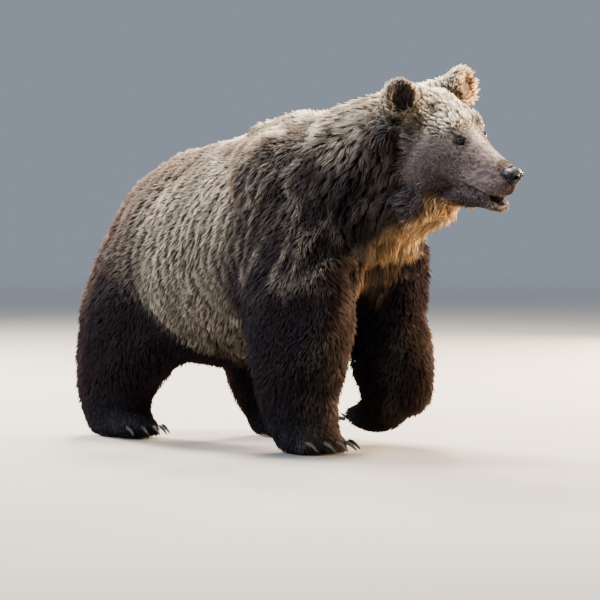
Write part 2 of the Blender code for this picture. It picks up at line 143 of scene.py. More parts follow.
@dataclass(frozen=True)
class HeadFrame:
    """The head's own axes: -Y to the nose, +X to its left, from midway between the ears."""

    turn: float = math.radians(8)
    drop: float = math.radians(11)
    roll: float = math.radians(7)
    eye: Vec = (0.058, -0.186, -0.100)

    @property
    def matrix(self) -> Matrix:
        """Places the head's points in the model, by its two eyes.

        Returns:
            The matrix from the head's frame to the model's.
        """
        turn = Matrix.Rotation(self.turn, 4, "Z")
        drop = Matrix.Rotation(self.drop, 4, "X")
        roll = Matrix.Rotation(-self.roll, 4, "Y")
        spin = turn @ drop @ roll
        corners = [Vector(c) for name in ("eye_right", "eye_left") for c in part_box(name)]
        between = sum(corners, Vector()) / len(corners)
        return Matrix.Translation(between - spin @ Vector((0, self.eye[1], self.eye[2]))) @ spin

    def local(self, points: Array) -> Array:
        """The points in the head's frame."""
        inverse = np.array(self.matrix.inverted())
        return points @ inverse[:3, :3].T + inverse[:3, 3]

    def world(self, points: Array) -> Array:
        """Points of the head's frame in the model's."""
        matrix = np.array(self.matrix)
        return points @ matrix[:3, :3].T + matrix[:3, 3]

    def ways(self, vectors: Array) -> Array:
        """Directions of the head's frame in the model's."""
        return vectors @ np.array(self.matrix)[:3, :3].T


HEAD = HeadFrame()
EYE_LOOK = Vector((0.74, -0.65, 0.14)).normalized()
EYE = np.array(HEAD.eye) - 0.006 * np.array(EYE_LOOK)
EYE_ACROSS = Vector((0, 0, 1)).cross(EYE_LOOK).normalized()
EYE_AXES = np.array((EYE_LOOK, EYE_ACROSS, EYE_LOOK.cross(EYE_ACROSS)))  # out, to the back, up
EYE_RADIUS = 0.0115
NOSE_TIP = np.array((0.0, -0.372, -0.180))
EAR = np.array((0.141, -0.002, -0.004))
EAR_TURN = (-6.0, 18.0, 10.0)
EAR_SHELL = (0.059, 0.038, 0.059)
EAR_CUP = (0.049, 0.036, 0.052)
EAR_HOLLOW = (0, -0.040, 0.008)
EAR_WALL = 0.030
EAR_RIM = (0.058, 0.9, 0.060)  # its edge seen from the front, at any depth
EAR_REACH = (0.075, 0.060, 0.075)  # out to the tips of its coat
MOUTH_CORNER = np.array((0.055, -0.214, -0.227))
MOUTH_SLOPE = 0.30


def mirrored(local: Array) -> Array:
    """The points of the head's frame, all brought to its left side."""
    return np.column_stack([np.abs(local[:, 0]), local[:, 1], local[:, 2]])


def ear_axes() -> Array:
    """The left ear's own axes as rows: across its opening, out of its back, and to its tip.

    Returns:
        A 3 by 3 array, one axis a row.
    """
    spin = Matrix.Identity(3)
    for angle, axis in zip(EAR_TURN, "XYZ"):
        spin = Matrix.Rotation(math.radians(angle), 3, axis) @ spin
    return np.array(spin).T


def in_ear(local: Array) -> Array:
    """Points of the head's frame in the frame of the ear on their own side."""
    return (mirrored(local) - EAR) @ ear_axes().T


def ear_cup(q: Array) -> Array:
    """How far each point of an ear's frame is from its hollow's middle: 1 is at the wall."""
    return size_of((q - EAR_HOLLOW) / EAR_CUP)


def mouth_height(local: Array) -> Array:
    """How far each point of the head's frame is above the line where the lips meet."""
    return local[:, Z] - MOUTH_CORNER[Z] - (local[:, Y] - MOUTH_CORNER[Y]) * MOUTH_SLOPE


# ---------------------------------------------------------------- the shape of the bare head


@dataclass(frozen=True)
class Mass:
    """A rounded mass of the head's flesh, one on each side when it is off the middle."""

    at: Vec
    radii: Vec
    turn: float = 0.0  # about X, in degrees
    soft: float = 0.02  # how widely it melts into its neighbours
    hollow: bool = False

    def distance(self, local: Array) -> Array:
        """About how far each point is outside the mass.

        Args:
            local: Points of the head's frame, one a row.

        Returns:
            One distance for each point, below 0 inside.
        """
        c, s = math.cos(math.radians(self.turn)), math.sin(math.radians(self.turn))
        q = mirrored(local) - np.array(self.at)
        q = np.column_stack([q[:, 0], c * q[:, 1] + s * q[:, 2], c * q[:, 2] - s * q[:, 1]])
        radii = np.array(self.radii)
        near = size_of(q / radii)
        return near * (near - 1) / np.maximum(size_of(q / radii**2), TINY)


def profile(local: Array, rows: Array) -> Array:
    """About how far each point is outside a tube along Y.

    Args:
        local: Points of the head's frame, one a row.
        rows: The tube's y, top, bottom and half width, from its back to its front.

    Returns:
        One distance for each point, below 0 inside.
    """
    y, top, bottom, wide = (np.interp(local[:, 1], rows[::-1, 0], rows[::-1, k]) for k in range(4))
    middle, high = (top + bottom) / 2, (top - bottom) / 2
    q = np.column_stack([local[:, 0] / wide, (local[:, 2] - middle) / high])
    near = size_of(q)
    slope = size_of(q / np.column_stack([wide, high]))
    across = near * (near - 1) / np.maximum(slope, TINY)
    return np.maximum(across, rows[-1, 0] - local[:, 1])


SKULL_ROWS = np.array([  # y, top, bottom, half width
    (0.10, -0.020, -0.240, 0.105),
    (0.02, 0.008, -0.275, 0.124),
    (-0.05, 0.006, -0.275, 0.120),
    (-0.11, -0.016, -0.272, 0.108),
    (-0.16, -0.050, -0.266, 0.089),
    (-0.205, -0.088, -0.262, 0.072),
    (-0.25, -0.121, -0.256, 0.062),
    (-0.30, -0.145, -0.249, 0.050),
    (-0.325, -0.153, -0.242, 0.038),
    (-0.340, -0.159, -0.228, 0.022),
])
JAW_ROWS = np.array([  # as in SKULL_ROWS
    (-0.03, -0.23, -0.318, 0.085),
    (-0.13, -0.23, -0.312, 0.074),
    (-0.20, -0.235, -0.300, 0.062),
    (-0.26, -0.240, -0.294, 0.050),
    (-0.300, -0.252, -0.292, 0.036),
])
HEAD_MASSES = {
    "nape": Mass((0, 0.02, -0.20), (0.128, 0.115, 0.125)),
    "cheek": Mass((0.070, -0.055, -0.200), (0.066, 0.100, 0.092), 12),
    "cheekbone": Mass((0.084, -0.095, -0.135), (0.026, 0.070, 0.022), 10),
    "brow": Mass((0.046, -0.140, -0.068), (0.030, 0.040, 0.020), 28),
    "bridge": Mass((0, -0.255, -0.146), (0.030, 0.085, 0.020), 22),
    "upper lip": Mass((0.023, -0.292, -0.214), (0.032, 0.042, 0.034), 12, 0.014),
    "snout": Mass((0, -0.328, -0.204), (0.033, 0.027, 0.046), 8, 0.018),
    "lower lip": Mass((0, -0.293, -0.277), (0.032, 0.034, 0.014), 16, 0.010),
    "furrow": Mass((0, -0.120, 0.014), (0.012, 0.080, 0.020), 25, 0.02, True),
    "eye socket": Mass((0.085, -0.205, -0.100), (0.030, 0.036, 0.026), 10, 0.016, True),
    "side of the muzzle": Mass((0.092, -0.255, -0.178), (0.030, 0.060, 0.024), 14, 0.030, True),
    "root of the ear": Mass((0.112, 0.016, -0.038), (0.056, 0.044, 0.054), 0, 0.03),
    "crown": Mass((0.078, 0.034, -0.010), (0.056, 0.046, 0.036), 0, 0.03),
    "open mouth": Mass((0, -0.332, -0.2700), (0.090, 0.050, 0.0125), 27, 0.006, True),
}
GAPE = HEAD_MASSES["open mouth"]
SOFT_JOIN = 0.012  # how widely the jaw and the ears melt into the skull
THROAT_LINE = np.array([  # y and z of the bare throat's underside, from the chin to the chest
    (-0.240, -0.290), (-0.165, -0.326), (-0.095, -0.350), (-0.045, -0.378), (-0.005, -0.430),
])


def ear_distance(local: Array) -> Array:
    """About how far each point is outside the bare ears, which are thick open cups.

    Args:
        local: Points of the head's frame, one a row.

    Returns:
        One distance for each point, below 0 inside.
    """
    q = in_ear(local)
    shell = size_of(q / EAR_SHELL) - 1
    return np.maximum(shell, 1 - ear_cup(q)) * EAR_WALL


def head_distance(local: Array) -> Array:
    """About how far each point of the head's frame is outside its bare flesh.

    Args:
        local: Points of the head's frame, one a row.

    Returns:
        One distance for each point, below 0 inside.
    """
    total = profile(local, SKULL_ROWS)
    solids = [(solid, SOFT_JOIN, False) for solid in (profile(local, JAW_ROWS), ear_distance(local))]
    solids += [(mass.distance(local), mass.soft, mass.hollow) for mass in HEAD_MASSES.values()]
    for other, soft, hollow in sorted(solids, key=lambda solid: solid[2]):
        if hollow:
            share = np.clip(0.5 - 0.5 * (total + other) / soft, 0, 1)
            total = total + (-other - total) * share + soft * share * (1 - share)
        else:
            share = np.clip(0.5 + 0.5 * (total - other) / soft, 0, 1)
            total = total + (other - total) * share - soft * share * (1 - share)
    return total


def onto_head(local: Array, rounds: int = 7, step: float = 1e-4, longest: float = 0.02) -> Array:
    """Moves points of the head's frame onto the surface of its bare flesh.

    Args:
        local: The points to move.
        rounds: How many times each is moved by what is left of its distance.
        step: The length over which the slope of the distance is read.
        longest: How far a point goes at most in one round.

    Returns:
        The moved points.
    """
    for _ in range(rounds):
        here = head_distance(local)
        slope = np.empty_like(local)
        for axis in range(3):
            shift = np.zeros(3)
            shift[axis] = step
            slope[:, axis] = (head_distance(local + shift) - here) / step
        steep = np.maximum(size_of(slope), 0.3)
        local = local - slope * (np.clip(here, -longest, longest) / steep**2)[:, None] * 0.9
    return local


# ---------------------------------------------------------------- how the fur grows


class Lie(Enum):
    """What the coat's direction is taken from on one part of the body."""

    ALONG = "along one direction of the model"
    FROM_NOSE = "away from the nose"
    FROM_EAR_ROOT = "away from the root of the ear"


DOWN = (0.0, 0.22, -1.0)


@dataclass(frozen=True)
class Coat:
    """How the fur grows on one part of the body.

    depth is how far the skin lies inside the coat's tips, length and width are those of one
    tuft, and every is the distance between tufts. Tips draw together into locks, by the share
    lock, over the distance clan. warm and face say how much of the throat's and the face's
    colours the part has.
    """

    depth: float
    length: float
    width: float
    every: float
    way: Vec = DOWN  # of a coat that lies along one direction
    lie: Lie = Lie.ALONG
    lock: float = 0.45
    clan: float = 0.015
    warm: float = 0.0
    face: float = 0.0


COATS = {
    "muzzle": Coat(0.0024, 0.0085, 0.0016, 0.0027, lie=Lie.FROM_NOSE, lock=0.1, clan=0.006, face=1.0),
    "jaw": Coat(0.006, 0.018, 0.0022, 0.0036, lie=Lie.FROM_NOSE, lock=0.2, clan=0.007, face=1.0),
    "face": Coat(0.0042, 0.0140, 0.0019, 0.0031, lie=Lie.FROM_NOSE, lock=0.2, clan=0.007, face=1.0),
    "brow": Coat(0.011, 0.026, 0.0028, 0.0037, lie=Lie.FROM_NOSE, lock=0.70, clan=0.014, face=0.50),
    "crown": Coat(0.015, 0.034, 0.0031, 0.0042, lie=Lie.FROM_NOSE, lock=0.75, clan=0.017, face=0.35),
    "cheek": Coat(0.019, 0.042, 0.0034, 0.0044, lie=Lie.FROM_NOSE, lock=0.60, clan=0.016, face=0.55),
    "throat": Coat(0.040, 0.078, 0.0046, 0.0056, lock=0.60, clan=0.022, warm=0.85, face=0.2),
    "ear": Coat(0.010, 0.026, 0.0030, 0.0038, lie=Lie.FROM_EAR_ROOT, lock=0.5, clan=0.010, face=0.4),
    "neck": Coat(0.032, 0.062, 0.0044, 0.0052, (0.0, 0.50, -0.86), lock=0.75, clan=0.023, face=0.1),
    "chest": Coat(0.021, 0.036, 0.0038, 0.0050, (0.0, 0.35, -0.94), lock=0.45, clan=0.011),
    "belly": Coat(0.019, 0.033, 0.0037, 0.0049, (0.0, 0.25, -0.97), lock=0.40, clan=0.010),
    "rump": Coat(0.021, 0.036, 0.0038, 0.0050, (0.0, 0.60, -0.80), lock=0.45, clan=0.011),
    "tail": Coat(0.024, 0.065, 0.0050, 0.0054, lock=0.6, clan=0.018),
    "upper_arm": Coat(0.020, 0.036, 0.0038, 0.0053, (0.0, 0.35, -0.94), lock=0.45, clan=0.012),
    "forearm": Coat(0.018, 0.034, 0.0038, 0.0060, lock=0.4, clan=0.012),
    "forepaw": Coat(0.008, 0.022, 0.0030, 0.0054, (0.0, -0.55, -0.80), lock=0.3, clan=0.010),
    "thigh": Coat(0.020, 0.036, 0.0038, 0.0055, (0.0, 0.45, -0.9), lock=0.4, clan=0.012),
    "shank": Coat(0.018, 0.034, 0.0038, 0.0060, lock=0.4, clan=0.012),
    "hindpaw": Coat(0.008, 0.022, 0.0030, 0.0054, (0.0, -0.60, -0.75), lock=0.3, clan=0.010),
}
FOLDED_PAW = "forepaw_left"
FOLDED_WAY = (0.0, 0.97, -0.24)
SIDES = ("_right", "_left")
FORELEG = ("upper_arm", "forearm", "forepaw")
HINDLEG = ("thigh", "shank", "hindpaw")
FORE_PARTS = ("head", "jaw", "neck", "chest")
TRAITS = ("depth", "length", "width", "every", "lock", "clan", "warm", "face")
MARKS = ("dark", "warm", "face")  # what the colours of the coat go by, besides its crests
BARE_NODES = ("nose", "eye", "foreclaw", "hindclaw")
FLESH = sorted(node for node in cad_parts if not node.startswith(BARE_NODES))


def part_of(node: str) -> str:
    """The name of a node's part: the node's own name without its side.

    Args:
        node: The name of a node of flesh.

    Returns:
        The name that both sides share.
    """
    for side in SIDES:
        node = node.removesuffix(side)
    return node


def kinds_of(nodes: list[str], points: Array) -> list[str]:
    """The kind of coat at each point: its node's part, or a region of the head.

    Args:
        nodes: The node of flesh that each point lies on.
        points: The points, one a row.

    Returns:
        One name from COATS for each point.
    """
    x, y, z = mirrored(HEAD.local(points)).T
    kinds = np.array([part_of(node) for node in nodes], dtype=object)
    head, fore = kinds == "head", np.isin(kinds, FORE_PARTS)
    below_ear = (z < -0.085 - 0.5 * (y + 0.10)) & (x > 0.05)
    before_ear = (y < -0.055) & (z > -0.10)
    before_cheek = (y < -0.085 - 0.5 * (z + 0.10)) & (z > -0.30)
    round_eye = (z < -0.088) | (y < -0.178)
    under_head = (z < -0.302) & (y < 0.12) & (y > -0.21) & (x < 0.15)
    kinds[head] = "crown"
    kinds[head & below_ear] = "cheek"
    kinds[head & before_ear] = "brow"
    kinds[head & before_cheek & round_eye] = "face"
    kinds[fore & under_head] = "throat"
    return list(kinds)


# ---------------------------------------------------------------- the skin


@dataclass
class Hide:
    """The skin as arrays: where its points are, how they join, and how fur grows on each."""

    points: Array
    edges: Array
    traits: dict[str, Array]
    way: Array
    normals: Array | None = None

    def relaxed(self, values: Array, rounds: int, strength: Array | float = 0.5) -> Array:
        """The values, each drawn towards those of its neighbours, round after round.

        Args:
            values: One number or one row for each point of the skin.
            rounds: How many times the values are drawn together.
            strength: How far they go each time, for all points or for each.

        Returns:
            The values, as one row a point.
        """
        a, b = self.edges[:, 0], self.edges[:, 1]
        count = np.bincount(a, minlength=len(values)) + np.bincount(b, minlength=len(values))
        strength = np.broadcast_to(strength, (len(values),))[:, None]
        values = values.reshape(len(self.points), -1)
        for _ in range(rounds):
            near = np.stack([
                np.bincount(a, column[b], len(column)) + np.bincount(b, column[a], len(column))
                for column in values.T
            ], axis=1)
            values = values + (near / np.maximum(count, 1)[:, None] - values) * strength
        return values


def rows_of(items: bpy.types.bpy_prop_collection, name: str, width: int,
            kind: type = float) -> Array:
    """What the points, edges or triangles of a mesh hold under one name.

    Args:
        items: The points, edges or triangles.
        name: The name of the property.
        width: How many numbers each of them holds.
        kind: The type of the numbers.

    Returns:
        One row for each of them.
    """
    values = np.empty(len(items) * width, dtype=kind)
    items.foreach_get(name, values)
    return values.reshape(-1, width)


def coordinates(mesh: bpy.types.Mesh) -> Array:
    """The mesh's points, one row each."""
    return rows_of(mesh.vertices, "co", 3)


def normals_of(mesh: bpy.types.Mesh) -> Array:
    """The mesh's smooth normals, one row a point."""
    return rows_of(mesh.vertices, "normal", 3)


def edges_of(mesh: bpy.types.Mesh) -> Array:
    """The mesh's edges, as pairs of point numbers."""
    return rows_of(mesh.edges, "vertices", 2, np.int32)


def moved(mesh: bpy.types.Mesh, points: Array) -> None:
    """Gives the mesh new places for its points."""
    mesh.vertices.foreach_set("co", np.ascontiguousarray(points, dtype=np.float32).ravel())
    mesh.update()


def evaluated(obj: bpy.types.Object) -> None:
    """Makes what the object's modifiers show its own mesh, and drops them.

    Args:
        obj: An object with modifiers.
    """
    bpy.context.view_layer.update()
    graph = bpy.context.evaluated_depsgraph_get()
    mesh = bpy.data.meshes.new_from_object(obj.evaluated_get(graph))
    obj.modifiers.clear()
    obj.data = mesh


def piece_of(name: str, data: bpy.types.ID) -> bpy.types.Object:
    """A new object in the scene.

    Args:
        name: The object's name.
        data: Its mesh, lamp or camera.

    Returns:
        The object, at the origin.
    """
    obj = bpy.data.objects.new(name, data)
    bpy.context.scene.collection.objects.link(obj)
    return obj


def dressed(name: str, mesh: bpy.types.Mesh, finish: bpy.types.Material) -> bpy.types.Object:
    """A new object in the scene, with one material.

    Args:
        name: The object's name.
        mesh: Its mesh.
        finish: Its material.

    Returns:
        The object, at the origin.
    """
    mesh.materials.clear()
    mesh.materials.append(finish)
    return piece_of(name, mesh)


def mesh_from(built: bmesh.types.BMesh, name: str) -> bpy.types.Mesh:
    """A smooth-shaded mesh from a bmesh, which is freed.

    Args:
        built: The bmesh.
        name: The mesh's name.

    Returns:
        The mesh.
    """
    mesh = bpy.data.meshes.new(name)
    built.to_mesh(mesh)
    built.free()
    mesh.polygons.foreach_set("use_smooth", [True] * len(mesh.polygons))
    return mesh


def in_order(built: bmesh.types.BMesh) -> None:
    """Sorts the faces by their first two corners, because create_uvsphere leaves their order to chance.

    Args:
        built: A closed bmesh, in which no two faces share those two corners in that order.
    """
    built.verts.index_update()
    points = len(built.verts)
    built.faces.sort(key=lambda face: face.verts[0].index * points + face.verts[1].index)


# ---------------------------------------------------------------- folds of loose skin


@dataclass(frozen=True)
class Folds:
    """Loose skin: pleats on the flank, crossing wrinkles and a long fold on the shoulder."""

    flank: Zone = Zone(((Y, -0.16, -0.06), (Y, 0.56, 0.46), (Z, 0.24, 0.32), (Z, 0.93, 0.80)))
    pleat_every: float = 0.037
    pleat_depth: float = 0.0135
    pleat_square: float = 0.8  # under 1, crests and dips are broader than a sine's
    middle: float = 0.60  # the height at which a pleat lies furthest back
    bend_above: float = 1.1  # how fast a pleat bends forward above its middle
    bend_below: float = 2.4
    shoulder: Zone = Zone(((Y, 0.06, -0.02), (Y, -0.44, -0.32), (Z, 0.44, 0.56), (Z, 0.90, 0.78)))
    wrinkle_every: float = 0.085
    wrinkle_depth: float = 0.0110
    wrinkle_width: float = 0.22
    wrinkle_lean: float = 0.30
    long_fold: tuple[float, float] = (0.10, 0.92)  # y and height of a point that it runs through
    long_fold_lean: float = 0.85
    long_fold_crest: float = 0.012
    long_fold_dip: float = 0.008

    def bow(self, z: Array) -> Array:
        """How far forward of its middle a pleat of the flank lies at each height."""
        rise = z - self.middle
        return np.where(rise > 0, self.bend_above, self.bend_below) * rise**2

    def on_flank(self, points: Array) -> Array:
        """How far each point is on the flank, between the shoulder and the haunch.

        Args:
            points: The points, one a row.

        Returns:
            0 off the flank to 1 on it, for each point.
        """
        upright = points.copy()
        upright[:, Y] += self.bow(points[:, Z])
        return self.flank.share(upright)

    def pleats(self, points: Array) -> Array:
        """The upright folds of the flank: -1 in a dip and 1 on a crest.

        Args:
            points: The points, one a row.

        Returns:
            One number for each point.
        """
        wander = 0.30 * waves(points, 0.26, 41) + 0.14 * waves(points, 0.07, 43)
        turns = (points[:, Y] + self.bow(points[:, Z])) / self.pleat_every + wander
        fold = np.sin(2 * np.pi * turns)
        fold = np.sign(fold) * np.abs(fold) ** self.pleat_square
        return fold * np.clip(0.85 + 0.35 * waves(points * (1, 1, 0.6), 0.09, 45), 0.2, 1.1)

    def wrinkles(self, points: Array) -> Array:
        """The crossing folds of loose skin on the shoulder: -1 in a dip and 1 on a crest.

        Args:
            points: The points, one a row.

        Returns:
            One number for each point, 0 off the shoulder.
        """
        x, y, z = points.T
        lines = []
        for lean, seed in ((self.wrinkle_lean, 47), (-self.wrinkle_lean, 49)):
            leaning = np.column_stack([0.3 * x, y + lean * z, 0.35 * z])
            lines.append(1 - np.abs(waves(leaning, self.wrinkle_every, seed)) / self.wrinkle_width)
        return self.shoulder.share(points) * np.clip(np.maximum(*lines), -0.3, 1)

    def height(self, points: Array) -> Array:
        """How far the skin stands out in its folds.

        Args:
            points: The points, one a row.

        Returns:
            One length for each point.
        """
        y, z = points[:, Y], points[:, Z]
        at, level = self.long_fold
        behind = y - at + self.long_fold_lean * (level - z)
        crest = self.long_fold_crest * bell(behind + 0.030, 0.036)
        dip = self.long_fold_dip * bell(behind - 0.030, 0.030)
        long_fold = (crest - dip) * ramp(z, 0.62, 0.76)
        pleat = self.pleat_depth * self.pleats(points) * self.on_flank(points)
        return pleat + long_fold + self.wrinkle_depth * self.wrinkles(points)


# ---------------------------------------------------------------- the coat's markings


@dataclass(frozen=True)
class Spot:
    """A soft round mark on each side of the head."""

    at: Vec
    size: float
    share: float  # how strong it is in its middle
    squeeze: Vec = (1.0, 1.0, 1.0)  # under 1, the mark is longer along that axis

    def strength(self, local: Array) -> Array:
        """How strong the mark is at each point of the head's frame, brought to its left side."""
        return self.share * bell(size_of((local - self.at) * self.squeeze), self.size)


@dataclass(frozen=True)
class Markings:
    """Where the coat is dark, pale or warm, partly as painted shade, painted highlight and painted glow, and
    where the head's skin is bare.
    """

    folds: Folds = Folds()
    # painted shade in front of the ear
    before_ear: Spot = Spot((0.150, -0.005, -0.080), 0.040, 0.80)
    # partly darker hair round the eye and partly painted shade in the socket's hollow
    socket: Spot = Spot(tuple(EYE), 0.016, 0.85, (0.7, 0.7, 1.0))
    jowl: Spot = Spot((0.10, -0.11, -0.21), 0.060, 0.30, (0.5, 0.8, 1.0))
    # painted shade in a band behind the cheek, from the ear down to the throat
    painted_shade_behind_cheek: Zone = Zone(((Z, -0.04, -0.10), (Z, -0.42, -0.30), (X, 0.05, 0.10)))
    under_jaw: Zone = Zone(((Z, -0.225, -0.270), (Y, -0.315, -0.270)))
    furrow: Zone = Zone(((Y, -0.02, -0.08), (Y, -0.24, -0.20)))
    # where a painted highlight runs along the top of the muzzle's bridge
    bridge: Zone = Zone(((Y, -0.18, -0.22), (Y, -0.325, -0.300), (Z, -0.17, -0.14)))
    brow: Zone = Zone(((Z, -0.125, -0.070), (Y, -0.22, -0.17)))
    chin: Zone = Zone(((Y, -0.27, -0.31), (Z, -0.250, -0.268)))
    breast: Zone = Zone(((Y, -0.24, -0.34), (Z, 1.00, 0.90)))
    rump: Zone = Zone(((Y, 0.18, 0.35), (Z, 0.74, 0.84)))
    hump: Zone = Zone(((Z, 0.90, 0.98),))
    hump_at: float = 0.08  # along Y, as is its reach
    hump_reach: float = 0.14
    nose_back: Vec = (0, -0.346, -0.180)  # the middle of the bare skin that the nose pad sits on
    sole_height: tuple[float, float] = (0.014, 0.008)

    def bare(self, points: Array, local: Array) -> Array:
        """Where skin is bare: on the lips, the lids, the rim of the nose and the soles.

        Args:
            points: The skin's points in the model.
            local: The same points in the head's frame, brought to its left side.

        Returns:
            0 in the coat to 1 on bare skin, for each point.
        """
        x, y, z = local.T
        lid = ramp(size_of(local - EYE), 0.0150, 0.0125)
        lip = bell(mouth_height(local), 0.0052) * (z > -0.32)
        lip *= ramp(y, MOUTH_CORNER[1] + 0.01, MOUTH_CORNER[1] - 0.01)
        under_nose = bell(x, 0.017) * ramp(y, -0.315, -0.325) * (z > -0.240) * (z < -0.16)
        nose = ramp(size_of(local - self.nose_back), 0.032, 0.026)
        gape = ramp(GAPE.distance(local), 0.0025, 0.0005) * (y < -0.26)
        on_face = np.clip(lid + lip + nose + under_nose + gape, 0, 1) * ramp(y, -0.10, -0.13)
        return np.maximum(on_face, ramp(points[:, Z], *self.sole_height))

    def dark_of_legs(self, points: Array) -> Array:
        """How far the dark of the legs runs up over the haunches and the shoulders.

        Args:
            points: The skin's points in the model.

        Returns:
            0 to 1 for each point.
        """
        y = points[:, Y] + 0.022 * waves(points, 0.16, 61)
        z = points[:, Z] + 0.030 * waves(points, 0.16, 71)
        knee_fold = 0.40 - 0.95 * np.maximum(0.50 - z, 0.0)
        haunch = 0.60 * ramp(z, 0.98, 0.74) + 0.40 * ramp(z, 0.60, 0.40)
        shoulder = 0.25 * ramp(z, 0.66, 0.46) + 0.75 * ramp(z, 1.00, 0.78)
        shoulder *= 1 - 0.65 * np.clip(self.folds.wrinkles(points), 0, 1)
        hind = ramp(y - knee_fold, -0.035, 0.045) * haunch
        fore = ramp(y, 0.05, -0.03) * shoulder
        feet = 0.6 * ramp(z, 0.32, 0.24)
        return np.maximum(np.maximum(hind, fore), feet)

    def shades(self, points: Array, warm: Array) -> tuple[Array, Array]:
        """How dark and how warm the coat is, over the whole body, with painted shade and painted glow on the
        head.

        Args:
            points: The skin's points in the model.
            warm: How much of the throat's colour each of them has from its part of the body.

        Returns:
            Two numbers from 0 to 1 for each point.
        """
        own = HEAD.local(points)
        local = mirrored(own)
        y, z = local[:, Y], local[:, Z]
        on_head = ramp(y, 0.10, 0.02)
        q = in_ear(local)
        cup = ear_cup(q)
        # the ears' hollows are dark, partly in their own colour and partly in painted shade
        inside = ramp(cup, 1.20, 1.02) * ramp(q[:, Y], -0.058, -0.044)
        lit = 0.45 * (own[:, X] > 0)  # painted glow: the left ear's hollow is painted as lit through from behind, so it is warmer and less dark than the right's
        front = 0.40 * ramp(size_of(q / EAR_REACH), 1.0, 0.85)
        front *= ramp(q[:, Y], 0.008, -0.008)
        # painted glow of backlit hair: the lower front rim of each ear is warmer and less dark
        edge = ramp(cup, 1.45, 1.10) * ramp(cup, 0.75, 1.0)
        edge *= ramp(q[:, Z], 0.040, 0.010) * ramp(q[:, Y], 0.010, -0.005)
        # painted shade behind the cheek
        painted_shade_behind_cheek = 0.42 * bell(y - 0.055 + 0.30 * (z + 0.15), 0.035) * self.painted_shade_behind_cheek.share(local)
        jaw = 0.55 * self.under_jaw.share(local) * on_head * (1 - warm)
        head = np.maximum((0.85 - lit) * inside, front) + painted_shade_behind_cheek + jaw
        # painted shade in front of the ear, and partly painted shade round the eye
        head += self.socket.strength(local) + self.before_ear.strength(local)
        head += self.jowl.strength(local) * on_head
        body = self.dark_of_legs(points) * (1 - on_head)
        dark = np.clip(body + head, 0, 1) * (1 - 0.7 * edge)
        return dark, np.clip(warm + 0.35 * edge + lit * inside, 0, 1)

    def pale_and_painted_light_on_body(self, hide: Hide, grain: Array) -> Array:
        """How pale the tips are on the body, much of it painted light: a painted highlight on the crests of
        its folds with painted shade in their dips, and a painted highlight along its top.

        Args:
            hide: The skin, with its normals.
            grain: Fine random numbers, one for each point.

        Returns:
            One number for each point.
        """
        points = hide.points
        y, z = points[:, Y], points[:, Z]
        # painted highlight on the crests of the flank's pleats, and painted shade in their dips
        fold = 0.32 + 0.85 * self.folds.pleats(points) + 0.15 * waves(points, 0.02, 53)
        loose = 0.28 + 1.3 * grain + 0.70 * self.folds.wrinkles(points)
        loose = 0.80 * np.clip(loose, 0, 1) * (1 - 0.20 * self.breast.share(points))
        side = blend(loose, np.clip(fold, 0, 1), self.folds.on_flank(points))
        side *= 0.70 + 0.30 * ramp(z, 0.30, 0.80)
        hump = bell(y - self.hump_at, self.hump_reach) * self.hump.share(points)
        calm = np.maximum(self.rump.share(points), hump)
        # painted highlight: paler tips where the skin faces straight up, along the top of the back
        top = ramp(hide.normals[:, Z], 0.88, 0.985) * ramp(z, 0.70, 0.85)
        top *= np.clip(0.66 + 1.2 * grain, 0.1, 1)
        return np.maximum(side * (1 - 0.70 * calm), top)

    def pale_and_painted_light_on_head(self, local: Array, grain: Array) -> Array:
        """How pale the tips are on the head: on the brow, the crown and the ears' edges, with a painted
        highlight along the muzzle's bridge.

        Args:
            local: Points of the head's frame, brought to its left side.
            grain: Fine random numbers, one for each point.

        Returns:
            0 to 1 for each point.
        """
        x, y, z = local.T
        furrow = 0.8 * bell(x, 0.020) * self.furrow.share(local) * (z > -0.15)
        # painted highlight along the top of the muzzle's bridge
        bridge = 0.4 * bell(x, 0.020) * self.bridge.share(local)
        upper_lip = 0.5 * bell(mouth_height(local) - 0.010, 0.007) * ramp(y, -0.31, -0.335)
        crown = np.clip(0.85 - 0.32 * ramp(y, -0.04, -0.14) + 0.9 * grain, 0, 1)
        crown *= self.brow.share(local)
        rim = np.abs(size_of(in_ear(local) / EAR_RIM) - 1.0)
        rim = 0.5 * ramp(rim, 0.16, 0.05) * ramp(z, -0.01, 0.03)
        chin = 0.25 * self.chin.share(local)
        return np.clip(furrow + bridge + chin + upper_lip + crown + rim, 0, 1)

    def crests(self, hide: Hide) -> Array:
        """How pale each point's tips are, over the whole body, painted highlights included.

        Args:
            hide: The skin, with its normals.

        Returns:
            0 to 1 for each point.
        """
        grain = 0.35 * waves(hide.points, 0.045, 51) + 0.25 * waves(hide.points, 0.018, 53)
        local = mirrored(HEAD.local(hide.points))
        body, head = self.pale_and_painted_light_on_body(hide, grain), self.pale_and_painted_light_on_head(local, grain)
        return np.clip(blend(body, head, ramp(local[:, Y], 0.06, -0.02)), 0, 1)


# ---------------------------------------------------------------- the lids and the lips


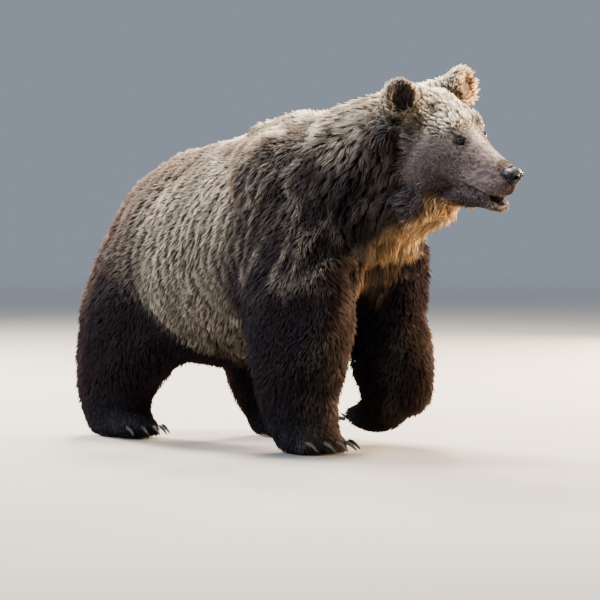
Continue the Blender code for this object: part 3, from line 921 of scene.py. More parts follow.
@dataclass(frozen=True)
class Lids:
    """The lids round each eyeball: an almond opening, and folds of skin round it."""

    long: float = 0.0092
    high: float = 0.0056
    slant: float = 0.06
    thick: float = 0.0012
    sunk: float = 0.0035  # how far the skin inside the opening lies behind the ball
    reach: tuple[float, float] = (0.030, 0.010)

    def pressed(self, local: Array) -> Array:
        """Wraps the skin over each eyeball.

        Args:
            local: Points of the head's frame, one a row.

        Returns:
            The points, moved.
        """
        a, b, height = (EYE_AXES[[1, 2, 0]] @ (mirrored(local) - EYE).T)
        across = np.hypot(a, b)
        opening = np.hypot(a / self.long, b / (self.high + self.slant * a))
        lid = np.sqrt(np.maximum(EYE_RADIUS**2 - across**2, 0.0))
        lid += self.thick * ramp(opening, 0.80, 1.05) - self.sunk * ramp(opening, 1.0, 0.80)
        beyond = across - EYE_RADIUS
        lid = np.where(beyond > 0, self.thick - 0.25 * beyond, lid)
        fold = 0.0012 * bell(opening - 1.35, 0.25) - 0.0014 * bell(opening - 2.0, 0.30)
        share = ramp(across, *self.reach) * (height > -0.004)
        wanted = np.maximum(lid, height * ramp(across, 0.012, 0.022)) + fold
        shift = np.outer((wanted - height) * share, EYE_AXES[0])
        shift[:, X] *= np.sign(local[:, X])
        return local + shift


@dataclass(frozen=True)
class Lips:
    """The line of the mouth between two swollen lips, which parts towards the open front."""

    width: tuple[float, float] = (0.0026, 0.0040)  # at the corner, and what the front adds
    depth: tuple[float, float] = (0.0050, 0.0110)
    upper: Vec = (0.0075, 0.0045, 0.0022)  # how far off the line it is, its width and its swelling
    lower: Vec = (-0.0075, 0.0040, 0.0016)
    shown: Zone = Zone(((Y, MOUTH_CORNER[1] + 0.012, MOUTH_CORNER[1] - 0.020), (Y, -0.19, -0.205)))

    def pressed(self, local: Array) -> Array:
        """Presses the line of the mouth into the muzzle.

        Args:
            local: Points of the head's frame, one a row.

        Returns:
            The points, moved.
        """
        y, z = local[:, Y], local[:, Z]
        above = mouth_height(local)
        gape = 0.5 * ramp(y, -0.265, -0.285)
        depth = bell(above, self.width[0] + self.width[1] * gape)
        depth *= self.depth[0] + self.depth[1] * gape
        for at, width, swelling in (self.upper, self.lower):
            depth -= swelling * bell(above - at, width)
        middle = np.column_stack([np.zeros(len(y)), np.minimum(y + 0.030, -0.20), z])
        depth *= self.shown.share(local) * (z > -0.33)
        return local - unit(local - middle) * depth[:, None]


# ---------------------------------------------------------------- the skin as a mesh


@dataclass
class Skin:
    """One skin over the whole animal, fused from the solids of flesh."""

    grain: float = 0.0125  # the voxel at which the solids are fused
    overlap: float = 0.0008  # each solid is grown by this, so that the gaps between them close
    relax_rounds: int = 26
    folds: Folds = Folds()
    markings: Markings = Markings()
    lids: Lids = Lids()
    lips: Lips = Lips()
    bare_head: Zone = Zone(((Y, 0.075, -0.015), (Z, -0.345, -0.295)))
    under_throat: Zone = Zone(((Y, 0.05, -0.01), (Z, -0.275, -0.300), (Z, -0.56, -0.48)))
    ear_root: Vec = (0.105, 0.02, -0.06)
    fine_ear: Vec = (0.078, 0.060, 0.082)  # half sizes of the finer mesh round an ear
    fine_back: float = 0.12  # the finer mesh ends here along the head

    def fused(self) -> bpy.types.Object:
        """All the solids of flesh as one closed mesh.

        Returns:
            The object of the skin, still as far out as the solids.
        """
        built = bmesh.new()
        for node in FLESH:
            solid = bmesh.new()
            solid.from_mesh(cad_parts[node].data)
            bmesh.ops.remove_doubles(solid, verts=solid.verts, dist=SAME_PLACE)
            solid.normal_update()
            for vert in solid.verts:
                vert.co += vert.normal * self.overlap
            grown = bpy.data.meshes.new(node)
            solid.to_mesh(grown)
            solid.free()
            built.from_mesh(grown)
            bpy.data.meshes.remove(grown)
        obj = piece_of("skin", mesh_from(built, "skin"))
        remesh = obj.modifiers.new("Fuse", "REMESH")
        remesh.mode, remesh.voxel_size = "VOXEL", self.grain
        evaluated(obj)
        return obj

    def fine_regions(self, local: Array) -> list[Array]:
        """Where the mesh is divided, time after time: the head, the face, then the eyes and lips.

        Args:
            local: Points of the head's frame, brought to its left side.

        Returns:
            Which of the points each round takes.
        """
        y, z = local[:, Y], local[:, Z]
        eye = size_of(local - EYE)
        ear = size_of((local - EAR) / self.fine_ear) < 1
        front = ramp(y, -0.06, -0.10) > 0.5
        lip = (np.abs(mouth_height(local)) < 0.012) & (y < MOUTH_CORNER[1] + 0.02) & (z < -0.20)
        lip |= (GAPE.distance(local) < 0.010) & (y < -0.26)
        return [(y < 0.06) & (z > -0.36), front | ear, (eye < 0.030) | lip, eye < 0.017]

    def refined(self, obj: bpy.types.Object, rounds: int = 4) -> None:
        """Divides the mesh more finely where the face has small forms.

        Args:
            obj: The object of the skin.
            rounds: How many times the mesh is divided.
        """
        built = bmesh.new()
        built.from_mesh(obj.data)
        for level in range(rounds):
            local = mirrored(HEAD.local(np.array([vert.co for vert in built.verts])))
            wanted = self.fine_regions(local)[level] & (local[:, Y] < self.fine_back)
            edges = [e for e in built.edges if all(wanted[v.index] for v in e.verts)]
            bmesh.ops.subdivide_edges(built, edges=edges, cuts=1, use_grid_fill=True)
            built.verts.index_update()
            built.verts.ensure_lookup_table()
        bmesh.ops.triangulate(built, faces=[f for f in built.faces if len(f.verts) > 4])
        obj.data = mesh_from(built, "skin")

    def labelled(self, points: Array) -> list[str]:
        """The node of flesh that each point lies on.

        Args:
            points: Points near the solids of flesh, one a row.

        Returns:
            One node's name for each point.
        """
        verts, faces, owner = [], [], []
        for node in FLESH:
            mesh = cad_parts[node].data
            start = len(verts)
            verts += [v.co.copy() for v in mesh.vertices]
            faces += [[start + i for i in face.vertices] for face in mesh.polygons]
            owner += [node] * len(mesh.polygons)
        tree = BVHTree.FromPolygons(verts, faces)
        return [owner[tree.find_nearest(Vector(point))[2]] for point in points]

    def build(self) -> tuple[bpy.types.Object, Hide, list[str]]:
        """Makes the skin, from the fused solids to its markings.

        Returns:
            The object, the same skin as arrays, and the kind of coat at each of its points.
        """
        obj = self.fused()
        rough = Hide(coordinates(obj.data), edges_of(obj.data), {}, np.empty((0, 3)))
        local = HEAD.local(rough.points)
        on_head = ramp(local[:, Y], 0.02, -0.04) * ramp(rough.points[:, Z], 0.60, 0.68)
        moved(obj.data, rough.relaxed(rough.points, self.relax_rounds, 0.5 - 0.42 * on_head))
        self.refined(obj)
        points = coordinates(obj.data)
        nodes = self.labelled(points)
        labels = kinds_of(nodes, points)
        hide = Hide(points, edges_of(obj.data), {}, self.lie(points, labels, nodes))
        table = np.array([[getattr(COATS[label], trait) for trait in TRAITS] for label in labels])
        smooth = hide.relaxed(table, 14)
        hide.traits = {trait: smooth[:, k] for k, trait in enumerate(TRAITS)}
        hide.way = unit(hide.relaxed(hide.way, 10))
        self.shape(obj, hide, np.isin([part_of(node) for node in nodes], FORE_PARTS))
        moved(obj.data, hide.points)
        hide.normals = unit(hide.relaxed(normals_of(obj.data), 2))
        self.groom(hide)
        self.mark(obj, hide)
        return obj, hide, labels

    def groom(self, hide: Hide) -> None:
        """Makes the coat shorter on the chin, round the eyes and in folds, and longer in the ears.

        Args:
            hide: The skin, whose traits are changed.
        """
        local = mirrored(HEAD.local(hide.points))
        traits = hide.traits
        eye = bell(size_of(local - EYE), 0.032)
        chin = ramp(local[:, Y], -0.02, -0.19) * traits["warm"]
        cup = ramp(ear_cup(in_ear(local)), 1.10, 0.95)
        flank = self.folds.on_flank(hide.points)
        dip = np.clip(-self.folds.pleats(hide.points), 0, 1) * flank
        shorter = (1 - 0.7 * eye) * (1 - 0.80 * chin) * (1 + 0.5 * cup) * (1 - 0.25 * dip)
        flatter = (1 - 0.80 * chin) * (1 + 0.8 * cup) * (1 - 0.40 * dip)
        traits["length"] = traits["length"] * shorter
        traits["depth"] = traits["depth"] * flatter
        traits["lock"] = traits["lock"] * (1 - 0.6 * flank)

    def mark(self, obj: bpy.types.Object, hide: Hide) -> None:
        """Works out the markings, and stores them on the skin for its material.

        Args:
            obj: The object of the skin.
            hide: The same skin as arrays.
        """
        points, traits = hide.points, hide.traits
        traits["bare"] = self.markings.bare(points, mirrored(HEAD.local(points)))
        traits["crest"] = self.markings.crests(hide)
        traits["dark"], traits["warm"] = self.markings.shades(points, traits["warm"])
        middle_tone = np.full(len(points), 0.5)
        store(obj.data, "strand", np.stack([traits["bare"], middle_tone, traits["crest"]], axis=-1))
        store(obj.data, "marks", np.stack([traits[name] for name in MARKS], axis=-1))

    def lie(self, points: Array, labels: list[str], nodes: list[str]) -> Array:
        """The direction of the coat at each point, before it is laid along the skin.

        Args:
            points: The points, one a row.
            labels: The kind of coat at each point.
            nodes: The node of flesh that each point lies on.

        Returns:
            One direction for each point.
        """
        local = HEAD.local(points)
        ear_root = np.tile(self.ear_root, (len(local), 1))
        ear_root[:, X] *= np.sign(local[:, X])
        away = {
            Lie.FROM_NOSE: HEAD.ways(unit(local - NOSE_TIP) + (0, 0, -0.25)),
            Lie.FROM_EAR_ROOT: HEAD.ways(unit(local - ear_root)),
        }
        ways = np.empty_like(points)
        for k, label in enumerate(labels):
            coat = COATS[label]
            if nodes[k] == FOLDED_PAW:
                ways[k] = FOLDED_WAY
            elif coat.lie is Lie.ALONG:
                ways[k] = coat.way
            else:
                ways[k] = away[coat.lie][k]
        return unit(ways)

    def shape(self, obj: bpy.types.Object, hide: Hide, fore: Array) -> None:
        """Sets the skin back by the coat's depth, and models the bare head and throat.

        Args:
            obj: The object of the skin, whose normals are read.
            hide: The same skin as arrays, whose points are moved.
            fore: Which points are on the head, the neck and the chest.
        """
        local = HEAD.local(hide.points)
        normals = unit(hide.relaxed(normals_of(obj.data), 3))
        depth = hide.traits["depth"] * ramp(hide.points[:, Z], 0.012, 0.040)
        inner = hide.points - normals * depth[:, None]
        on_head = self.bare_head.share(local)
        hide.points = blend(inner, HEAD.world(onto_head(local)), on_head)
        hide.points = hide.relaxed(hide.points, 8, 0.4 * (1 - on_head))
        hide.points = hide.relaxed(hide.points, 3, 0.25 * on_head)
        local = HEAD.local(hide.points)
        y, z = local[:, Y], local[:, Z]
        throat = fore * (y > -0.25) * self.under_throat.share(local)
        line = np.interp(y, THROAT_LINE[:, 0], THROAT_LINE[:, 1]) + 0.8 * local[:, X] ** 2
        local[:, Z] = np.where(throat > 0, np.maximum(z, z + (line - z) * throat), z)
        hide.points = hide.relaxed(HEAD.world(local), 14, 0.5 * throat)
        local = HEAD.local(hide.points)
        faced = self.lips.pressed(self.lids.pressed(local))
        hide.points = hide.points + HEAD.world(faced) - HEAD.world(local)
        hide.points = hide.points + normals * self.folds.height(hide.points)[:, None]


# ---------------------------------------------------------------- the tufts


@dataclass(frozen=True)
class CoatPiece:
    """One piece of the coat: the parts of the body whose fur it holds, on one side or on both."""

    name: str
    parts: tuple[str, ...]
    slot: str
    side: int = 0

    def holds(self, label: str, x: Array) -> Array:
        """Which points with this kind of coat, each at its x, are in the piece."""
        on_side = (self.side == 0) | (np.sign(x) == self.side)
        return on_side & (label in self.parts)


def both_sides(name: str, parts: tuple[str, ...], slot: str) -> list[CoatPiece]:
    """Two pieces of the coat, for the body's right side and its left."""
    return [CoatPiece(name + end, parts, slot, side) for end, side in zip(SIDES, (-1, 1))]


PIECES = [
    CoatPiece("fur_muzzle", ("muzzle", "jaw", "face"), "head_coat"),
    CoatPiece("fur_head", ("brow", "crown", "cheek", "ear"), "head_coat"),
    CoatPiece("fur_neck", ("neck", "throat"), "body_coat"),
    *both_sides("fur_chest", ("chest",), "body_coat"),
    *both_sides("fur_belly", ("belly",), "body_coat"),
    CoatPiece("fur_rump", ("rump", "tail"), "body_coat"),
    *both_sides("fur_foreleg", FORELEG, "leg_coat"),
    *both_sides("fur_hindleg", HINDLEG, "leg_coat"),
]
TUFT_FACES = [(0, 2, 1), (0, 1, 4, 3), (1, 2, 5, 4), (2, 0, 3, 5), (3, 4, 6), (4, 5, 6), (5, 3, 6)]
TUFT_ALONG = np.array((0, 0, 0, 0.5, 0.5, 0.5, 1.0))  # how far along a tuft each point is
TUFT_ACROSS = np.array((0, 1, 0.5, 0, 1, 0.5, 0.5))
TUFT_POINTS = len(TUFT_ALONG)


@dataclass
class Roots:
    """Where tufts grow: one row each of place, skin normal, lie and traits."""

    at: Array
    normal: Array
    way: Array
    traits: dict[str, Array]
    label: Array

    def __len__(self) -> int:
        """How many tufts there are."""
        return len(self.at)


@dataclass
class Fur:
    """The coat, as pieces of many solid tufts."""

    hide: Hide
    skin: bpy.types.Object
    labels: list[str]
    seed: int = 7
    thin: float = 0.884  # scales how many tufts there are
    sunk: float = 0.002  # how far a tuft's root lies under the skin
    least_heights: Vec = (0.005, 0.004, 0.002)  # of its root, its bend and its tip
    bend: tuple[float, float] = (0.46, 0.62)  # where its bend is, as shares along and up of its tip
    lengths: tuple[float, float] = (0.75, 1.15)
    widths: tuple[float, float] = (0.7, 1.25)
    rises: tuple[float, float] = (0.04, 0.85)  # how steeply it may stand
    pull_most: float = 0.55  # how far a lock pulls its tip, as a share of its length
    bend_pull: float = 0.35  # the share of that pull which its bend gets
    flatness: float = 0.30  # how far its sides lie off its middle line, as a share of its width
    ridge: float = 1.6  # how far its ridge stands up, as a share of that
    root_width: float = 0.8  # as a share of the width at its bend
    patch: float = 0.003  # the size of one tuft on the bake's map

    def triangles(self) -> tuple[Array, Array, Array]:
        """The skin's triangles.

        Returns:
            Their corners, their areas and the kind of coat on each.
        """
        mesh = self.skin.data
        mesh.calc_loop_triangles()
        corners = rows_of(mesh.loop_triangles, "vertices", 3, np.int32)
        a, b, c = (self.hide.points[corners[:, k]] for k in range(3))
        area = size_of(np.cross(b - a, c - a)) / 2
        return corners, area, np.array(self.labels)[corners[:, 0]]

    def roots(self, piece: CoatPiece, draw: np.random.Generator) -> Roots:
        """Spreads roots evenly over the piece's part of the skin.

        Args:
            piece: The piece of the coat.
            draw: Where random numbers come from.

        Returns:
            The roots.
        """
        corners, area, owner = self.triangles()
        x = self.hide.points[corners[:, 0], X]
        held = np.zeros(len(corners), dtype=bool)
        for label in COATS:
            here = owner == label
            held[here] = piece.holds(label, x[here])
        corners, area, owner = corners[held], area[held], owner[held]
        traits = self.hide.traits
        grown = (1 - traits["bare"]) / traits["every"] ** 2
        total = np.cumsum(area * grown[corners].mean(axis=1))
        count = int(total[-1] * self.thin)
        spots = (np.arange(count) + draw.random(count)) * total[-1] / count
        chosen = np.minimum(np.searchsorted(total, spots), len(total) - 1)
        weights = draw.dirichlet((1, 1, 1), count)
        corners = corners[chosen]

        def read(values: Array) -> Array:
            """The values of the skin's points, read at the roots."""
            return np.einsum("ij...,ij->i...", values[corners], weights)

        normal = unit(read(self.hide.normals))
        way = laid_along(read(self.hide.way), normal)
        grown = {name: read(values) for name, values in traits.items()}
        return Roots(read(self.hide.points), normal, way, grown, owner[chosen])

    def leaders(self, roots: Roots, draw: np.random.Generator) -> tuple[Array, Array]:
        """Picks the tufts that locks gather round, and finds the nearest to each tuft.

        Args:
            roots: The roots of one piece.
            draw: Where random numbers come from.

        Returns:
            The leaders' numbers, and the number of each tuft's own leader.
        """
        share = (roots.traits["every"] / roots.traits["clan"]) ** 2
        leaders = np.flatnonzero(draw.random(len(roots)) < share)
        tree = KDTree(len(leaders))
        for k, leader in enumerate(leaders):
            tree.insert(roots.at[leader], k)
        tree.balance()
        return leaders, np.array([leaders[tree.find(point)[1]] for point in roots.at])

    def curves(self, roots: Roots, draw: np.random.Generator) -> tuple[Array, Array]:
        """The middle line of each tuft, drawn towards its lock's.

        Args:
            roots: The roots of one piece.
            draw: Where random numbers come from.

        Returns:
            The places of each tuft's root, bend and tip, and a tone that its lock shares.
        """
        count, traits = len(roots), roots.traits
        drift = cells(roots.at, 0.10, 11) * 0.22 + cells(roots.at, 0.035, 21) * 0.16
        calm = 1 - 0.7 * traits["face"][:, None] ** 3
        way = roots.way + (drift + draw.normal(scale=0.07, size=(count, 3))) * calm
        way = laid_along(way, roots.normal)
        length = traits["length"] * draw.uniform(*self.lengths, count)
        rise = np.clip(traits["depth"] / traits["length"], 0.05, 0.75)
        rise = rise * (1 + 0.18 * draw.normal(size=count) + 0.25 * waves(roots.at, 0.05, 31))
        rise = np.clip(rise, *self.rises)
        along = way * (np.sqrt(1 - rise**2) * length)[:, None]
        up = roots.normal * (rise * length)[:, None]
        root = roots.at - roots.normal * self.sunk
        bend = root + along * self.bend[0] + up * self.bend[1]
        tip = root + along + up
        leaders, nearest = self.leaders(roots, draw)
        pull = np.clip(traits["lock"] * draw.uniform(0.6, 1.2, count), 0, 0.9)[:, None]
        offset = tip[nearest] - tip
        reach = self.pull_most * length / np.maximum(size_of(offset), SAME_PLACE)
        offset *= np.minimum(1, reach)[:, None] * pull
        tip = tip + offset
        bend = bend + offset * self.bend_pull
        lines = np.stack([root, bend, tip], axis=1)
        lines[:, :, Z] = np.maximum(lines[:, :, Z], self.least_heights)
        return lines, draw.random(len(leaders))[np.searchsorted(leaders, nearest)]

    def mesh(self, piece: CoatPiece, number: int) -> bpy.types.Mesh:
        """One piece of the coat as a mesh of closed three-sided tufts.

        Args:
            piece: The piece of the coat.
            number: Its place in the list, which picks its random numbers.

        Returns:
            The mesh, with its map and its marks.
        """
        draw = np.random.default_rng((self.seed, number))
        roots = self.roots(piece, draw)
        line, lock_tone = self.curves(roots, draw)
        count = len(roots)
        along = unit(line[:, 2] - line[:, 0])
        across = unit(np.cross(along, roots.normal))
        above = np.cross(across, along)
        width = (roots.traits["width"] * draw.uniform(*self.widths, count))[:, None]
        verts = np.empty((count, TUFT_POINTS, 3))
        for ring, size in ((0, self.root_width), (1, 1.0)):
            half = across * width * size / 2
            high = above * width * size * self.flatness
            verts[:, 3 * ring] = line[:, ring] - half - high
            verts[:, 3 * ring + 1] = line[:, ring] + half - high
            verts[:, 3 * ring + 2] = line[:, ring] + high * self.ridge
        verts[:, TUFT_POINTS - 1] = line[:, 2]
        mesh = mesh_of_copies(piece.name, verts, TUFT_FACES)
        tone = np.clip(0.6 * lock_tone + 0.4 * draw.random(count), 0, 1)
        tone = 0.5 + (tone - 0.5) * (1 - 0.65 * roots.traits["face"] ** 3)
        self.write_map(mesh, roots)
        self.write_marks(mesh, roots, tone)
        return mesh

    def write_map(self, mesh: bpy.types.Mesh, roots: Roots) -> None:
        """Gives each tuft a small patch at its root's place on an unwrap of the skin.

        Args:
            mesh: The mesh of one piece of the coat.
            roots: The roots of its tufts.
        """
        loops = np.concatenate(TUFT_FACES)
        patch = (np.column_stack([TUFT_ACROSS, TUFT_ALONG])[loops] - 0.5) * self.patch
        values = np.clip(unwrap(roots)[:, None, :] + patch[None, :, :], 0, 1)
        layer = mesh.uv_layers.new(name="OFBake")
        layer.data.foreach_set("uv", values.astype(np.float32).ravel())

    def write_marks(self, mesh: bpy.types.Mesh, roots: Roots, tone: Array) -> None:
        """Stores what the material reads: the place along the tuft, its tone and its markings.

        Args:
            mesh: The mesh of one piece of the coat.
            roots: The roots of its tufts.
            tone: How bright each tuft is, from 0 to 1.
        """
        shape = (len(roots), TUFT_POINTS)
        crest, *marks = (roots.traits[name][:, None] for name in ("crest", *MARKS))
        for name, numbers in (("strand", (TUFT_ALONG, tone[:, None], crest)), ("marks", marks)):
            columns = [np.broadcast_to(values, shape) for values in numbers]
            store(mesh, name, np.stack(columns, axis=-1).reshape(-1, 3))


def store(mesh: bpy.types.Mesh, name: str, values: Array) -> None:
    """Gives each point of the mesh three numbers for its material to read.

    Args:
        mesh: The mesh.
        name: What the material reads them by.
        values: The numbers, from 0 to 1, one row a point.
    """
    layer = mesh.attributes.new(name, "FLOAT_COLOR", "POINT")
    values = np.column_stack([np.clip(values, 0, 1), np.ones(len(values))])
    layer.data.foreach_set("color", values.astype(np.float32).ravel())


def mesh_of_copies(name: str, verts: Array, faces: list) -> bpy.types.Mesh:
    """A mesh of many small closed shapes that share one list of faces.

    Args:
        name: The mesh's name.
        verts: The points, as copies by points by 3.
        faces: The faces of one copy, as point numbers.

    Returns:
        The mesh, shaded smooth.
    """
    copies, points = verts.shape[:2]
    loops = np.concatenate(faces)
    sizes = np.array([len(face) for face in faces])
    starts = np.concatenate([[0], np.cumsum(sizes)[:-1]])
    shift = np.arange(copies)[:, None]
    mesh = bpy.data.meshes.new(name)
    mesh.vertices.add(copies * points)
    mesh.vertices.foreach_set("co", verts.astype(np.float32).ravel())
    mesh.loops.add(copies * len(loops))
    mesh.loops.foreach_set("vertex_index", (loops[None] + shift * points).astype(np.int32).ravel())
    mesh.polygons.add(copies * len(faces))
    mesh.polygons.foreach_set("loop_start", (starts[None] + shift * len(loops)).astype(np.int32).ravel())
    mesh.polygons.foreach_set("use_smooth", np.ones(copies * len(faces), dtype=bool))
    mesh.update(calc_edges=True)
    return mesh


def unwrap(roots: Roots) -> Array:
    """Where each root lies when the skin of each part is slit, unrolled and scaled to a strip.

    Args:
        roots: The roots of one piece.

    Returns:
        Two numbers from 0 to 1 for each root.
    """
    labels = sorted(set(roots.label))
    place = np.empty((len(roots), 2))
    for k, label in enumerate(labels):
        here = roots.label == label
        points = roots.at[here]
        upright = label in FORELEG + HINDLEG
        q = points - (points.min(axis=0) + points.max(axis=0)) / 2
        turn = np.arctan2(q[:, X], -q[:, Y] if upright else q[:, Z])
        for column, values in enumerate((turn, q[:, Z] if upright else q[:, Y])):
            low, top = values.min(), values.max()
            place[here, column] = (values - low) / max(top - low, SAME_PLACE)
        place[here, 0] = (k + 0.01 + 0.98 * place[here, 0]) / len(labels)
    return 0.005 + 0.99 * place


# ---------------------------------------------------------------- finishes


class Nodes:
    """Builds one material out of shader nodes."""

    def __init__(self, name: str) -> None:
        """Starts a material that holds one Principled shader.

        Args:
            name: The material's name.
        """
        self.material = bpy.data.materials.new(name)
        self.material.use_nodes = True
        self.tree = self.material.node_tree
        self.shader = self.tree.nodes["Principled BSDF"]

    def new(self, kind: str, **settings: object) -> bpy.types.Node:
        """A node of this kind, with these properties.

        Args:
            kind: The node's type, without ShaderNode.
            settings: The node's properties by name.

        Returns:
            The node.
        """
        node = self.tree.nodes.new("ShaderNode" + kind)
        for key, value in settings.items():
            setattr(node, key, value)
        return node

    def link(self, source: bpy.types.NodeSocket, target: bpy.types.NodeSocket) -> None:
        """Joins two sockets."""
        self.tree.links.new(source, target)

    def feed(self, target: bpy.types.NodeSocket, value: object) -> None:
        """Gives a socket a plain value, or links it to another socket.

        Args:
            target: The socket that is fed.
            value: A number, a colour or a socket.
        """
        if isinstance(value, bpy.types.NodeSocket):
            self.link(value, target)
        else:
            target.default_value = value

    def mix(self, share: object, low: object, high: object, kind: str = "MIX") -> bpy.types.NodeSocket:
        """A colour between two others, or their product or sum by share.

        Args:
            share: How much of high there is, from 0 to 1.
            low: The colour at 0.
            high: The colour at 1.
            kind: How the two are blended.

        Returns:
            The colour.
        """
        node = self.new("Mix", data_type="RGBA", blend_type=kind)
        self.feed(node.inputs[0], share)
        for socket, value in ((node.inputs[6], low), (node.inputs[7], high)):
            self.feed(socket, (*value, 1) if isinstance(value, tuple) else value)
        return node.outputs[2]

    def sums(self, kind: str, *values: object) -> bpy.types.NodeSocket:
        """A number worked out from one, two or three others.

        Args:
            kind: The sum, such as ADD.
            values: What it is worked out from.

        Returns:
            The number.
        """
        node = self.new("Math", operation=kind)
        for socket, value in zip(node.inputs, values):
            self.feed(socket, value)
        return node.outputs[0]

    def remap(self, value: object, low: float, high: float, start: float = 0.0,
              end: float = 1.0) -> bpy.types.NodeSocket:
        """The value, carried smoothly from low..high to start..end.

        Args:
            value: What is carried.
            low: Where the value starts.
            high: Where the value ends.
            start: What low becomes.
            end: What high becomes.

        Returns:
            The number.
        """
        node = self.new("MapRange", interpolation_type="SMOOTHSTEP")
        for socket, given in zip(node.inputs, (value, low, high, start, end)):
            self.feed(socket, given)
        return node.outputs[0]

    def stored(self, name: str) -> list[bpy.types.NodeSocket]:
        """The three first numbers that the mesh stores under this name.

        Args:
            name: The attribute's name.

        Returns:
            Three numbers.
        """
        read = self.new("Attribute", attribute_name=name)
        split = self.new("SeparateColor")
        self.link(read.outputs["Color"], split.inputs[0])
        return list(split.outputs)

    def noise(self, scale: float, detail: float = 2.0, stretch: Vec = (1, 1, 1)) -> bpy.types.NodeSocket:
        """Noise on the object's own coordinates.

        Args:
            scale: How fine it is.
            detail: How many finer layers it has.
            stretch: How much finer it is along each axis.

        Returns:
            A number from 0 to 1.
        """
        where = self.new("TexCoord")
        turned = self.new("Mapping")
        turned.inputs["Scale"].default_value = stretch
        self.link(where.outputs["Object"], turned.inputs[0])
        node = self.new("TexNoise")
        node.inputs["Scale"].default_value = scale
        node.inputs["Detail"].default_value = detail
        self.link(turned.outputs[0], node.inputs["Vector"])
        return node.outputs["Fac"]

    def bump(self, height: bpy.types.NodeSocket, distance: float, strength: float = 1.0) -> None:
        """Raises the surface by the height, up to the distance.

        Args:
            height: The height, from 0 to 1.
            distance: How far 1 stands out.
            strength: How much of it shows.
        """
        node = self.new("Bump")
        node.inputs["Strength"].default_value = strength
        node.inputs["Distance"].default_value = distance
        self.link(height, node.inputs["Height"])
        self.link(node.outputs[0], self.shader.inputs["Normal"])

    def blend_surface(self, share: object, other: bpy.types.Node) -> None:
        """Gives the surface a share of another shader.

        Args:
            share: How much of it there is, from 0 to 1.
            other: The other shader.
        """
        both = self.new("MixShader")
        self.feed(both.inputs[0], share)
        self.link(self.shader.outputs[0], both.inputs[1])
        self.link(other.outputs[0], both.inputs[2])
        self.link(both.outputs[0], self.tree.nodes["Material Output"].inputs["Surface"])

    def let_light_through(self, colour: bpy.types.NodeSocket, share: float) -> None:
        """Mixes in a share of light that passes through the surface in this colour.

        Args:
            colour: The light's colour.
            share: How much light passes through.
        """
        through = self.new("BsdfTranslucent")
        self.link(colour, through.inputs["Color"])
        self.blend_surface(share, through)

    def done(self, colour: object, roughness: object, specular: float = 0.5) -> bpy.types.Material:
        """Sets the shader's colour, its roughness and how much it mirrors.

        Args:
            colour: A colour or a socket.
            roughness: A number or a socket.
            specular: How much it mirrors, with 0.5 as for plastic.

        Returns:
            The material.
        """
        self.feed(self.shader.inputs["Base Color"],
                  (*colour, 1) if isinstance(colour, tuple) else colour)
        self.feed(self.shader.inputs["Roughness"], roughness)
        self.shader.inputs["Specular IOR Level"].default_value = specular
        return self.material


@dataclass(frozen=True)
class Hair:
    """The colour of one kind of hair at its root and at its tip."""

    root: Vec
    tip: Vec


